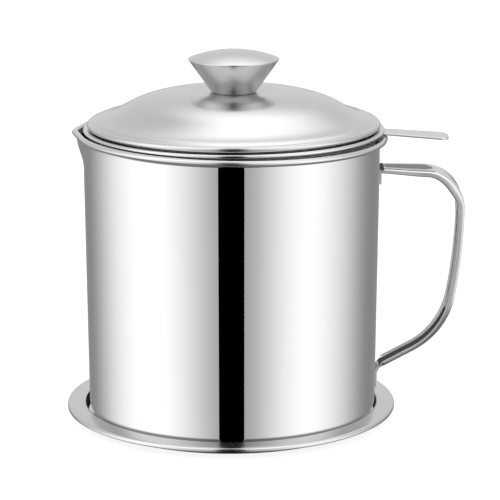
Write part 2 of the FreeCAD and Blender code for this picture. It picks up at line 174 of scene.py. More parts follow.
def new_group(name: str, inputs: dict[str, str],
              outputs: dict[str, str]) -> tuple[Graph, bpy.types.Node, bpy.types.Node]:
    """Starts a shader node group.

    Args:
        name: the group's name.
        inputs: socket types by name.
        outputs: socket types by name.

    Returns:
        The group's graph, its input node and its output node.
    """
    tree = bpy.data.node_groups.new(name, "ShaderNodeTree")
    for label, kind in inputs.items():
        tree.interface.new_socket(label, in_out="INPUT", socket_type=kind)
    for label, kind in outputs.items():
        tree.interface.new_socket(label, in_out="OUTPUT", socket_type=kind)
    return Graph(tree), tree.nodes.new("NodeGroupInput"), tree.nodes.new("NodeGroupOutput")


def new_material(name: str) -> tuple[bpy.types.Material, Graph]:
    """Starts a material with an empty node tree.

    Args:
        name: the material's name.

    Returns:
        The material and its graph.
    """
    material = bpy.data.materials.new(name)
    material.use_nodes = True
    material.node_tree.nodes.clear()
    return material, Graph(material.node_tree)


def make_handling_group() -> bpy.types.NodeTree:
    """Builds the shared traces of use: soft haze from hands and sparse hairline marks.

    Returns:
        The group, with Roughness and Height outputs.
    """
    graph, given, result = new_group(
        "handling_marks",
        {"Vector": "NodeSocketVector", "Roughness": "NodeSocketFloat", "Haze": "NodeSocketFloat",
         "Marks": "NodeSocketFloat"},
        {"Roughness": "NodeSocketFloat", "Height": "NodeSocketFloat"})
    cloud = graph.add("ShaderNodeTexNoise", {"Vector": given.outputs["Vector"], "Scale": 45.0, "Detail": 4.0,
                                             "Roughness": 0.55})
    haze = graph.math("MULTIPLY", graph.ramp(cloud.outputs[0], 0.38, 0.72), given.outputs["Haze"])
    stretched = graph.add("ShaderNodeMapping", {"Vector": given.outputs["Vector"],
                                                "Rotation": (0.4, 0.9, 0.3), "Scale": (1.0, 14.0, 1.0)})
    hairs = graph.add("ShaderNodeTexNoise", {"Vector": stretched.outputs[0], "Scale": 160.0, "Detail": 2.0})
    hair = graph.math("MULTIPLY", graph.ramp(hairs.outputs[0], 0.62, 0.76), given.outputs["Marks"])
    rough = graph.math("ADD", graph.math("ADD", given.outputs["Roughness"], haze), hair)
    graph.tree.links.new(rough, result.inputs["Roughness"])
    graph.tree.links.new(hair, result.inputs["Height"])
    return graph.tree


def make_ring_group() -> bpy.types.NodeTree:
    """Builds the shared marks of spinning and polishing on a lathe, which run round the Z axis.

    Returns:
        The group, with Tone and Height outputs.
    """
    graph, given, result = new_group(
        "lathe_rings",
        {"Vector": "NodeSocketVector", "Rings": "NodeSocketFloat", "Drift": "NodeSocketFloat"},
        {"Tone": "NodeSocketFloat", "Height": "NodeSocketFloat"})
    flat = graph.vector("MULTIPLY", given.outputs["Vector"], (1.0, 1.0, 0.0), "Vector")
    radius = graph.vector("LENGTH", flat, (0.0, 0.0, 0.0), "Value")
    split = graph.add("ShaderNodeSeparateXYZ", {0: given.outputs["Vector"]})
    along = graph.math("ADD", radius, split.outputs["Z"])
    turn = graph.math("MULTIPLY", along, given.outputs["Rings"])
    fine = graph.add("ShaderNodeTexNoise", {"Vector": given.outputs["Vector"], "W": turn,
                                            "Scale": given.outputs["Drift"], "Detail": 3.0},
                     noise_dimensions="4D")
    broad = graph.add("ShaderNodeTexNoise", {"Vector": given.outputs["Vector"],
                                             "W": graph.math("MULTIPLY", turn, 0.12),
                                             "Scale": given.outputs["Drift"], "Detail": 2.0},
                      noise_dimensions="4D")
    tone = graph.math("ADD", graph.math("MULTIPLY", fine.outputs[0], 0.6),
                      graph.math("MULTIPLY", broad.outputs[0], 0.4))
    graph.tree.links.new(tone, result.inputs["Tone"])
    graph.tree.links.new(fine.outputs[0], result.inputs["Height"])
    return graph.tree


# ---- finishes -----------------------------------------------------------------------------------
def grey(level: float) -> tuple[float, float, float]:
    """A grey as a colour."""
    return level, level, level


@dataclass(frozen=True)
class SteelFinish:
    """A steel surface: how bright, how rough, and which marks its polishing left.

    Attributes:
        name: the material's name.
        colour: base colour, linear.
        roughness: of the clean surface.
        grain: which way the polishing marks run.
        rings: how many polishing marks there are in a metre.
        tone: how much the marks change the roughness.
        depth: height of the marks in metres.
        haze: extra roughness where hands have been.
        marks: depth of sparse hairlines, as extra roughness.
        anisotropy: how much reflections are drawn out across the grain.
        centre: the axis that round marks run about, in metres along X.
        edge_tint: how bright it stays when seen at a low angle.
    """

    name: str
    colour: tuple[float, float, float]
    roughness: float
    grain: Grain = Grain.ROUND
    rings: float = 900.0
    tone: float = 0.03
    depth: float = 0.0
    haze: float = 0.01
    marks: float = 0.0
    anisotropy: float = 0.0
    centre: float = 0.0
    edge_tint: float = 1.0

    def material(self, handling: bpy.types.NodeTree, lathe_rings: bpy.types.NodeTree) -> bpy.types.Material:
        """Builds the material.

        Args:
            handling: the shared group of handling marks.
            lathe_rings: the shared group of lathe marks.

        Returns:
            The new material.
        """
        material, graph = new_material(self.name)
        place = graph.add("ShaderNodeTexCoord").outputs["Object"]
        centred = graph.add("ShaderNodeMapping", {"Vector": place, "Location": (-self.centre, 0.0, 0.0)})
        if self.grain is Grain.LONG:
            centred = graph.add("ShaderNodeMapping", {"Vector": centred.outputs[0],
                                                      "Scale": (0.02, 1.0, 0.02)})
        rings = graph.add("ShaderNodeGroup", {"Vector": centred.outputs[0], "Rings": self.rings,
                                              "Drift": 12.0}, node_tree=lathe_rings)
        wear = graph.add("ShaderNodeGroup", {"Vector": place, "Roughness": self.roughness,
                                             "Haze": self.haze, "Marks": self.marks}, node_tree=handling)
        swing = graph.math("MULTIPLY", graph.math("SUBTRACT", rings.outputs["Tone"], 0.5), self.tone)
        roughness = graph.math("MAXIMUM", graph.math("ADD", wear.outputs["Roughness"], swing), 0.01)
        shader = graph.add("ShaderNodeBsdfPrincipled",
                           {"Base Color": (*self.colour, 1.0), "Metallic": 1.0, "Roughness": roughness,
                            "Anisotropic": self.anisotropy, "Specular Tint": (*grey(self.edge_tint), 1.0)})
        if self.depth > 0:
            bump = graph.add("ShaderNodeBump", {"Height": rings.outputs["Height"], "Strength": 1.0,
                                                "Distance": self.depth})
            graph.tree.links.new(bump.outputs["Normal"], shader.inputs["Normal"])
        graph.add("ShaderNodeOutputMaterial", {"Surface": shader.outputs[0]})
        return material


ON_SEAT = SEAT_SHIFT * MM
MIRROR = SteelFinish("mirror_polished_steel", grey(0.62), 0.02, tone=0.01, haze=0.004)
HANDLE = SteelFinish("polished_handle_steel", grey(0.60), 0.17, grain=Grain.LONG, rings=2600.0, tone=0.03,
                     haze=0.02, marks=0.02)
ROLLED_RIM = SteelFinish("rolled_rim_steel", grey(0.60), 0.26, rings=1400.0, tone=0.03, haze=0.02)
# Painted shade: a dark steel for the handle channel's inside and the corner at its upper weld.
CHANNEL_PAINTED_SHADE = SteelFinish("painted_shade_channel_steel", grey(0.15), 0.30, grain=Grain.LONG, rings=1800.0,
                         tone=0.06, haze=0.05, edge_tint=0.3)
# Painted reflection: a darker steel on the handle's pressed panel stands in for the lift tab's dark mirror
# image.
PANEL_PAINTED_REFLECTION = SteelFinish("painted_reflection_panel_steel", grey(0.27), 0.26, grain=Grain.LONG, rings=1800.0,
                            tone=0.05, haze=0.04, edge_tint=0.6)
BRIGHT_RIM = SteelFinish("bright_rim_steel", grey(0.60), 0.17, rings=1400.0, tone=0.03, haze=0.02,
                         centre=ON_SEAT)
SATIN = SteelFinish("satin_lid_steel", grey(0.56), 0.20, rings=1500.0, tone=0.05, depth=0.0000006,
                    haze=0.02, marks=0.01, anisotropy=0.3, centre=ON_SEAT)
SATIN_KNOB = SteelFinish("satin_knob_steel", grey(0.56), 0.21, rings=2200.0, tone=0.05, depth=0.0000006,
                         haze=0.02, marks=0.01, anisotropy=0.3, centre=ON_SEAT)
SPUN_TRAY = SteelFinish("spun_tray_steel", grey(0.58), 0.17, rings=1100.0, tone=0.08, depth=0.0000012,
                        haze=0.02, marks=0.01, anisotropy=0.35)
# Painted shade: a near-black steel that stands in for the shade in the tray well's deep corner.
WELL_PAINTED_SHADE = SteelFinish("painted_shade_corner_steel", grey(0.05), 0.40, rings=1800.0, tone=0.06, haze=0.05,
                          edge_tint=0.3)
WIRE = SteelFinish("wire_cloth_steel", grey(0.50), 0.28, rings=3000.0, tone=0.05, haze=0.04, centre=ON_SEAT)
ZINC = SteelFinish("zinc_plated_steel", (0.55, 0.56, 0.57), 0.30, rings=4000.0, tone=0.08, haze=0.08,
                   marks=0.02, centre=ON_SEAT)


class Workshop:
    """Makes the materials once and hands them out."""

    def __init__(self) -> None:
        """Builds the two shared node groups."""
        self.handling = make_handling_group()
        self.lathe_rings = make_ring_group()
        self.made: dict[str, bpy.types.Material] = {}

    def dress(self, finish: SteelFinish) -> bpy.types.Material:
        """Gives a finish's material.

        Args:
            finish: which finish.

        Returns:
            Its material, built on first use.
        """
        if finish.name not in self.made:
            self.made[finish.name] = finish.material(self.handling, self.lathe_rings)
        return self.made[finish.name]


# ---- outlines -----------------------------------------------------------------------------------
def smooth(share: float) -> float:
    """Eases a share in and out, kept between 0 and 1."""
    share = max(0.0, min(1.0, share))
    return share * share * (3 - 2 * share)


def unit(start: Point, end: Point) -> Point:
    """The direction from start to end, with length 1."""
    length = math.dist(start, end)
    return (end[0] - start[0]) / length, (end[1] - start[1]) / length


def arc_points(centre: Point, radius: float, start: float, end: float, steps: int) -> list[Point]:
    """Samples an arc.

    Args:
        centre: the arc's centre.
        radius: its radius.
        start: first angle in degrees, anticlockwise from +r.
        end: last angle.
        steps: how many parts.

    Returns:
        The points, both ends included.
    """
    angles = [math.radians(start + (end - start) * step / steps) for step in range(steps + 1)]
    return [(centre[0] + radius * math.cos(angle), centre[1] + radius * math.sin(angle)) for angle in angles]


def rounded(points: list[Point], radii: list[float], steps: int = 6) -> list[Point]:
    """Rounds the inner corners of an open outline.

    Args:
        points: the outline's corners.
        radii: a radius for each inner corner.
        steps: parts of each arc.

    Returns:
        The outline's points, with each corner replaced by an arc.
    """
    result = [points[0]]
    for before, corner, after, radius in zip(points, points[1:], points[2:], radii):
        back, ahead = unit(corner, before), unit(corner, after)
        cosine = max(-1.0, min(1.0, back[0] * ahead[0] + back[1] * ahead[1]))
        half = math.acos(cosine) / 2
        middle = unit((0.0, 0.0), (back[0] + ahead[0], back[1] + ahead[1]))
        away, reach = radius / math.sin(half), radius / math.tan(half)
        centre = (corner[0] + middle[0] * away, corner[1] + middle[1] * away)
        first, last = (math.atan2(corner[1] + side[1] * reach - centre[1],
                                  corner[0] + side[0] * reach - centre[0]) for side in (back, ahead))
        swing = (last - first + math.pi) % (2 * math.pi) - math.pi
        result += arc_points(centre, radius, math.degrees(first), math.degrees(first + swing), steps)
    result.append(points[-1])
    return result


def moved_left(path: list[Point], distance: float) -> list[Point]:
    """Moves an open outline to its left.

    Args:
        path: the outline.
        distance: how far.

    Returns:
        The moved outline, with as many points.
    """
    result = []
    for index, here in enumerate(path):
        before = path[index - 1] if index else here
        after = path[index + 1] if index < len(path) - 1 else here
        if before == here:
            into = unit(here, after)
        else:
            into = unit(before, here)
        out = unit(here, after) if after != here else into
        share = distance / (1 + into[0] * out[0] + into[1] * out[1])
        result.append((here[0] - share * (into[1] + out[1]), here[1] + share * (into[0] + out[0])))
    return result


def sheet_outline(path: list[Point], thickness: float) -> list[Point]:
    """The section of a sheet whose one face follows path and whose other face is to its left.

    Args:
        path: the first face's outline.
        thickness: of the sheet, or less than 0 to put it to the right.

    Returns:
        The outline along the first face, round the far edge and back along the other face.
    """
    other = moved_left(path, thickness)
    ahead = unit(path[-2], path[-1])
    middle = ((path[-1][0] + other[-1][0]) / 2, (path[-1][1] + other[-1][1]) / 2)
    side = (path[-1][0] - middle[0], path[-1][1] - middle[1])
    edge = []
    for degrees in (36, 72, 108, 144):
        angle = math.radians(degrees)
        reach = abs(thickness) / 2 * math.sin(angle) * 0.8
        edge.append((middle[0] + side[0] * math.cos(angle) + ahead[0] * reach,
                     middle[1] + side[1] * math.cos(angle) + ahead[1] * reach))
    return path + edge + other[::-1]


def smooth_line(points: list[Point], spacing: float, start_slope: float, end_slope: float) -> list[Point]:
    """Draws a cubic spline through points whose first numbers rise or fall steadily.

    Args:
        points: what the line passes through.
        spacing: largest step along the first number.
        start_slope: slope at the first point.
        end_slope: slope at the last point.

    Returns:
        Points along the spline, both ends included.
    """
    x = np.array([point[0] for point in points])
    y = np.array([point[1] for point in points])
    step = np.diff(x)
    count = len(x)
    matrix = np.zeros((count, count))
    wanted = np.zeros(count)
    matrix[0, 0] = matrix[-1, -1] = 1.0
    wanted[0], wanted[-1] = start_slope, end_slope
    for i in range(1, count - 1):
        matrix[i, i - 1:i + 2] = 1 / step[i - 1], 2 * (1 / step[i - 1] + 1 / step[i]), 1 / step[i]
        wanted[i] = 3 * ((y[i] - y[i - 1]) / step[i - 1] ** 2 + (y[i + 1] - y[i]) / step[i] ** 2)
    slope = np.linalg.solve(matrix, wanted)
    result = [points[0]]
    for i in range(count - 1):
        parts = max(1, math.ceil(abs(step[i]) / spacing))
        for part in range(1, parts + 1):
            t = part / parts
            value = (y[i] * (1 + 2 * t) * (1 - t) ** 2 + y[i + 1] * t * t * (3 - 2 * t)
                     + step[i] * (slope[i] * t * (1 - t) ** 2 - slope[i + 1] * t * t * (1 - t)))
            result.append((float(x[i] + t * step[i]), float(value)))
    return result


# ---- meshes -------------------------------------------------------------------------------------
def tidy(mesh: bmesh.types.BMesh) -> bmesh.types.BMesh:
    """Merges doubles, closes poles and turns the faces outwards.

    Args:
        mesh: the mesh to tidy, in metres.

    Returns:
        The same mesh.
    """
    bmesh.ops.remove_doubles(mesh, verts=mesh.verts, dist=1e-7)
    bmesh.ops.dissolve_degenerate(mesh, edges=mesh.edges, dist=1e-8)
    bmesh.ops.recalc_face_normals(mesh, faces=mesh.faces)
    return mesh


def lathe(outline: list[Point], centre: float = 0.0, segments: int = 192,
          closed: bool = True) -> bmesh.types.BMesh:
    """Spins an outline once round an upright axis.

    Args:
        outline: (radius, height) points.
        centre: where the axis stands along X.
        segments: parts of the full turn.
        closed: whether the last point joins the first. Where not, both lie on the axis.

    Returns:
        The tidied mesh, in metres.
    """
    mesh = bmesh.new()
    corners = [mesh.verts.new(((centre + r) * MM, 0.0, z * MM)) for r, z in outline]
    pairs = list(zip(corners, corners[1:]))
    if closed:
        pairs.append((corners[-1], corners[0]))
    for pair in pairs:
        mesh.edges.new(pair)
    bmesh.ops.spin(mesh, geom=mesh.verts[:] + mesh.edges[:], cent=(centre * MM, 0.0, 0.0),
                   axis=(0.0, 0.0, 1.0), dvec=(0.0, 0.0, 0.0), angle=2 * math.pi, steps=segments,
                   use_merge=True)
    return tidy(mesh)


def ring_edges(mesh: bmesh.types.BMesh, ring: list[bmesh.types.BMVert]) -> list[bmesh.types.BMEdge]:
    """The edges of a closed ring of vertices."""
    return [mesh.edges.get(pair) for pair in zip(ring, ring[1:] + ring[:1])]


def swept(sections: list[list[Vector]]) -> bmesh.types.BMesh:
    """Extrudes a closed section through a row of places and closes both ends.

    Args:
        sections: the section's corners at each place, always as many, in millimetres.

    Returns:
        The tidied mesh, in metres.
    """
    mesh = bmesh.new()
    ring = [mesh.verts.new(point * MM) for point in sections[0]]
    for pair in zip(ring, ring[1:] + ring[:1]):
        mesh.edges.new(pair)
    bmesh.ops.contextual_create(mesh, geom=ring_edges(mesh, ring))
    for section in sections[1:]:
        grown = bmesh.ops.extrude_edge_only(mesh, edges=ring_edges(mesh, ring))["geom"]
        fresh = {part for part in grown if isinstance(part, bmesh.types.BMVert)}
        ring = [next(edge.other_vert(vert) for edge in vert.link_edges if edge.other_vert(vert) in fresh)
                for vert in ring]
        for vert, point in zip(ring, section):
            vert.co = point * MM
    bmesh.ops.contextual_create(mesh, geom=ring_edges(mesh, ring))
    return tidy(mesh)


@dataclass
class SubAssembly:
    """What the sub-assemblies share.

    Attributes:
        workshop: where the materials come from.
        body: the CAD body that the pieces ride on.
    """

    workshop: Workshop
    body: Body

    def add_piece(self, mesh: bmesh.types.BMesh, name: str, finish: SteelFinish, slot: Slot,
                  stands_for: tuple[str, ...], crease: float = 35.0) -> bpy.types.Object:
        """Turns a mesh into a finished piece that rides on the sub-assembly's body.

        Args:
            mesh: the piece's shape in metres, freed here.
            name: the piece's name.
            finish: its surface.
            slot: the record's material slot; not used.
            stands_for: the CAD nodes that it replaces.
            crease: edges that turn by more degrees than this stay sharp.

        Returns:
            The new object.
        """
        data = bpy.data.meshes.new(name)
        mesh.to_mesh(data)
        mesh.free()
        data.shade_smooth()
        data.set_sharp_from_angle(angle=math.radians(crease))
        piece = bpy.data.objects.new(name, data)
        bpy.context.scene.collection.objects.link(piece)
        data.materials.append(self.workshop.dress(finish))
        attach(piece, self.body.value)
        if stands_for:
            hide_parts(*stands_for)
        log.info("%s: %d faces on body %s", name, len(data.polygons), self.body.value)
        return piece

    def refinish(self, piece: bpy.types.Object, finish: SteelFinish,
                 chosen: Callable[[Vector], bool]) -> None:
        """Gives some faces of a piece another finish.

        Args:
            piece: the piece.
            finish: the other finish.
            chosen: says whether the face with that middle, in millimetres, gets it.
        """
        piece.data.materials.append(self.workshop.dress(finish))
        for face in piece.data.polygons:
            if chosen(face.center / MM):
                face.material_index = len(piece.data.materials) - 1


# ---- tray ---------------------------------------------------------------------------------------
@dataclass
class DripTray(SubAssembly):
    """The pressed dish under the pot.

    Attributes:
        sheet: thickness.
        centre: where its axis stands along X.
        well_radius: inside of the well.
        radius: outside of the turned-down lip.
        height: top of the flange.
        lip_drop: how far the lip reaches below that.
        floor_bend: radius outside the well's floor.
        flange_bend: radius between well and flange.
        lip_bend: radius over the lip.
        fall: how far the flange falls towards the lip.
        corner_inside: how far the painted shade in the well's corner reaches in over the floor.
        corner_outside: how far it reaches out over the bend to the flange.
    """

    sheet: float = 0.6
    centre: float = TRAY_SHIFT
    well_radius: float = 64.1
    radius: float = 72.4
    height: float = 5.2
    lip_drop: float = 1.75
    floor_bend: float = 1.4
    flange_bend: float = 0.7
    lip_bend: float = 0.5
    fall: float = 0.4
    corner_inside: float = 6.0
    corner_outside: float = 0.9

    def build(self) -> None:
        """Makes the dish."""
        wall = self.well_radius + self.sheet
        shoulder = self.height - self.sheet
        edge = self.radius - self.sheet
        corners = [(0.0, 0.0), (wall, 0.0), (wall, shoulder + self.fall), (edge, shoulder),
                   (edge, self.height - self.lip_drop)]
        path = rounded(corners, [self.floor_bend, self.flange_bend, self.lip_bend], 8)
        mesh = lathe(sheet_outline(path, self.sheet), self.centre, segments=300, closed=False)
        dish = self.add_piece(mesh, "drip_tray_dish", SPUN_TRAY, Slot.TRAY, ("drip_tray",))
        dish.visible_glossy = False
        # Painted shade: the well's deep corner gets the near-black steel.
        self.refinish(dish, WELL_PAINTED_SHADE, self.in_well_painted_shade)

    def in_well_painted_shade(self, middle: Vector) -> bool:
        """Says whether a face lies in the well's deep corner, which gets a near-black steel as painted shade.
        """
        past = math.hypot(middle.x - self.centre, middle.y) - self.well_radius
        return -self.corner_inside < past < self.corner_outside and 0.3 * self.sheet < middle.z < self.height


# ---- pot ----------------------------------------------------------------------------------------
@dataclass
class Pot(SubAssembly):
    """The polished pot with its rolled rim and pouring spout.

    Attributes:
        sheet: thickness.
        base: underside of the foot ring.
        foot_radius: outside radius at the base.
        radius: outside radius at the top of the straight wall.
        foot_bend: radius between wall and foot ring.
        foot_ring: width of the ring that the pot stands on.
        recess: how far the base is pressed up.
        taper_top: height where the wall becomes upright.
        loops: shares of that height where the wall has an edge loop. They lie close together at the
            foot, so that its bend doesn't reach into the wall's shading.
        neck: height where the wall starts to turn out to the curl.
        throat: height where the spout's throat starts.
        rim_height: middle of the bead, on the axis.
        bead_path: radius of the bead's middle line.
        bead: radius of the bead.
        curl_turn: degrees that the curl turns through.
        rim_tilt: degrees that the bead rises towards the spout.
        spout_reach: where the spout's straight sides would meet.
        spout_angle: degrees from -X where the straight sides would cross the rim.
        spout_blend: radius between the round rim and the straight sides.
        spout_nose: radius of the spout's tip.
    """

    sheet: float = 0.6
    base: float = 0.6
    foot_radius: float = 63.1
    radius: float = 64.2
    foot_bend: float = 5.9
    foot_ring: float = 7.0
    recess: float = 0.8
    taper_top: float = 108.0
    loops: tuple[float, ...] = (0.003, 0.01, 0.04, 0.15, 0.35, 0.6, 0.8, 0.95, 1.0)
    neck: float = 122.3
    throat: float = 109.5
    rim_height: float = 124.4
    bead_path: float = 66.25
    bead: float = 1.35
    curl_turn: float = 292.0
    rim_tilt: float = 0.93
    spout_reach: float = 68.1
    spout_angle: float = 16.0
    spout_blend: float = 20.0
    spout_nose: float = 6.0

    def section(self) -> list[Point]:
        """The wall's section, from the middle of the base out and up to the curl and back inside."""
        ring_inner = self.foot_radius - self.foot_ring
        raised = self.base + self.recess
        corners = [(0.0, raised), (ring_inner - self.recess, raised), (ring_inner, self.base),
                   (self.foot_radius, self.base), (self.radius, self.taper_top)]
        path = rounded(corners, [self.recess, self.recess + self.sheet, self.foot_bend], 8)
        low, high = path[-2], path.pop()
        path += [(low[0] + (high[0] - low[0]) * share, low[1] + (high[1] - low[1]) * share)
                 for share in self.loops]
        steps = 12
        path += [(self.radius, self.taper_top + (self.neck - self.taper_top) * step / steps)
                 for step in range(1, steps + 1)]
        inner = self.bead - self.sheet
        rise = self.rim_height - self.neck
        flare = self.bead_path - inner - self.radius
        for step in range(1, 12):
            t = step / 12
            path.append((self.radius + flare * smooth(t), self.neck + rise * t))
        path += arc_points((self.bead_path, self.rim_height), inner, 180.0, 180.0 - self.curl_turn, 26)
        return sheet_outline(path, self.sheet)

    def rim_reach(self, angle: float) -> float:
        """How far the bead's middle line lies from the axis.

        Args:
            angle: radians from -X, either way round.

        Returns:
            The distance.
        """
        angle = abs(angle)
        half = math.radians(self.spout_angle)
        lean = math.atan2(self.spout_reach - self.bead_path * math.cos(half), self.bead_path * math.sin(half))
        level = self.spout_reach * math.cos(lean)
        to_blend = self.bead_path - self.spout_blend
        swing = math.acos((level - self.spout_blend) / to_blend)
        nose_centre = self.spout_reach - self.spout_nose / math.cos(lean)
        nose_end = math.atan2(self.spout_nose * math.sin(lean),
                              nose_centre + self.spout_nose * math.cos(lean))
        blend_end = math.atan2(math.sin(lean + swing) * to_blend + self.spout_blend * math.sin(lean),
                               math.cos(lean + swing) * to_blend + self.spout_blend * math.cos(lean))
        if angle < nose_end:
            across = nose_centre * math.sin(angle)
            return nose_centre * math.cos(angle) + math.sqrt(self.spout_nose ** 2 - across ** 2)
        if angle < blend_end:
            return level / math.cos(angle - lean)
        if angle < lean + swing:
            across = to_blend * math.sin(angle - lean - swing)
            return to_blend * math.cos(angle - lean - swing) + math.sqrt(self.spout_blend ** 2 - across ** 2)
        return self.bead_path

    def shape_rim(self, mesh: bmesh.types.BMesh) -> None:
        """Pulls the round neck out to the spout and tips the rim.

        Args:
            mesh: the spun pot, changed in place.
        """
        slope = math.tan(math.radians(self.rim_tilt))
        curl_low = self.rim_height - self.bead
        wall_edge = self.bead_path - self.bead + self.sheet + 0.05
        flare = wall_edge - self.radius
        farthest = self.rim_reach(0.0) - self.bead_path
        for vert in mesh.verts:
            height = vert.co.z / MM
            if height <= self.throat:
                continue
            early = smooth((height - self.throat) / (curl_low - self.throat))
            late = smooth((height - self.neck) / (self.rim_height - self.neck))
            pull = self.rim_reach(math.atan2(vert.co.y, -vert.co.x)) - self.bead_path
            move = pull * early
            if math.hypot(vert.co.x, vert.co.y) < wall_edge * MM:
                move += flare * (early - late) * pull / farthest
            vert.co.z -= vert.co.x * slope * smooth((height - self.neck) / (curl_low - self.neck))
            vert.co += Vector((vert.co.x, vert.co.y, 0.0)).normalized() * move * MM

    def build(self) -> None:
        """Makes the pot."""
        mesh = lathe(self.section(), segments=360, closed=False)
        self.shape_rim(mesh)
        shell = self.add_piece(mesh, "pot_shell", MIRROR, Slot.MIRROR, ("pot_body",))
        slope = math.tan(math.radians(self.rim_tilt))
        low = self.rim_height - self.bead - 0.25
        self.refinish(shell, ROLLED_RIM, lambda middle: middle.z + middle.x * slope > low)


# ---- strips -------------------------------------------------------------------------------------
@dataclass
class Place:
    """A place along a bent strip that lies in the XZ plane.

    Attributes:
        x: of the strip's outer face.
        z: of the strip's outer face.
        heading: which way the strip runs, in radians above +X.
        share: how far along its run, from 0 to 1.
        run: which run of the strip it is on.
    """

    x: float
    z: float
    heading: float
    share: float = 0.0
    run: int = 0

    def point(self, across: float, deep: float) -> Vector:
        """The point that lies so far across the strip and below its outer face."""
        sine, cosine = math.sin(self.heading), math.cos(self.heading)
        return Vector((self.x + deep * sine, across, self.z - deep * cosine))


def follow(start: Place, runs: tuple[Point, ...], spacing: float) -> list[Place]:
    """Walks along straight and curved runs.

    Args:
        start: the first place.
        runs: (length, turn in degrees to the right) of each run.
        spacing: largest step.

    Returns:
        The places, the first included.
    """
    places = [start]
    here = start
    for number, (length, turn) in enumerate(runs):
        steps = max(1, math.ceil(length / spacing), math.ceil(abs(turn) / 3))
        half = math.radians(turn) / steps / 2
        chord = length / steps * (math.sin(half) / half if half else 1.0)
        for step in range(1, steps + 1):
            along = here.heading - half
            here = Place(here.x + chord * math.cos(along), here.z + chord * math.sin(along), along - half,
                         step / steps, number)
            places.append(here)
    return places


def places_on(points: list[Point], spacing: float, run: int, share: float) -> list[Place]:
    """Turns an outline into evenly filled places.

    Args:
        points: the outline.
        spacing: largest step.
        run: the run that the places belong to.
        share: their share of that run.

    Returns:
        The places, both ends included.
    """
    filled = [points[0]]
    for start, end in zip(points, points[1:]):
        steps = max(1, math.ceil(math.dist(start, end) / spacing))
        run_x, run_z = end[0] - start[0], end[1] - start[1]
        filled += [(start[0] + run_x * step / steps, start[1] + run_z * step / steps)
                   for step in range(1, steps + 1)]
    result = []
    for index, here in enumerate(filled):
        before, after = filled[max(index - 1, 0)], filled[min(index + 1, len(filled) - 1)]
        result.append(Place(*here, math.atan2(after[1] - before[1], after[0] - before[0]), share, run))
    return result


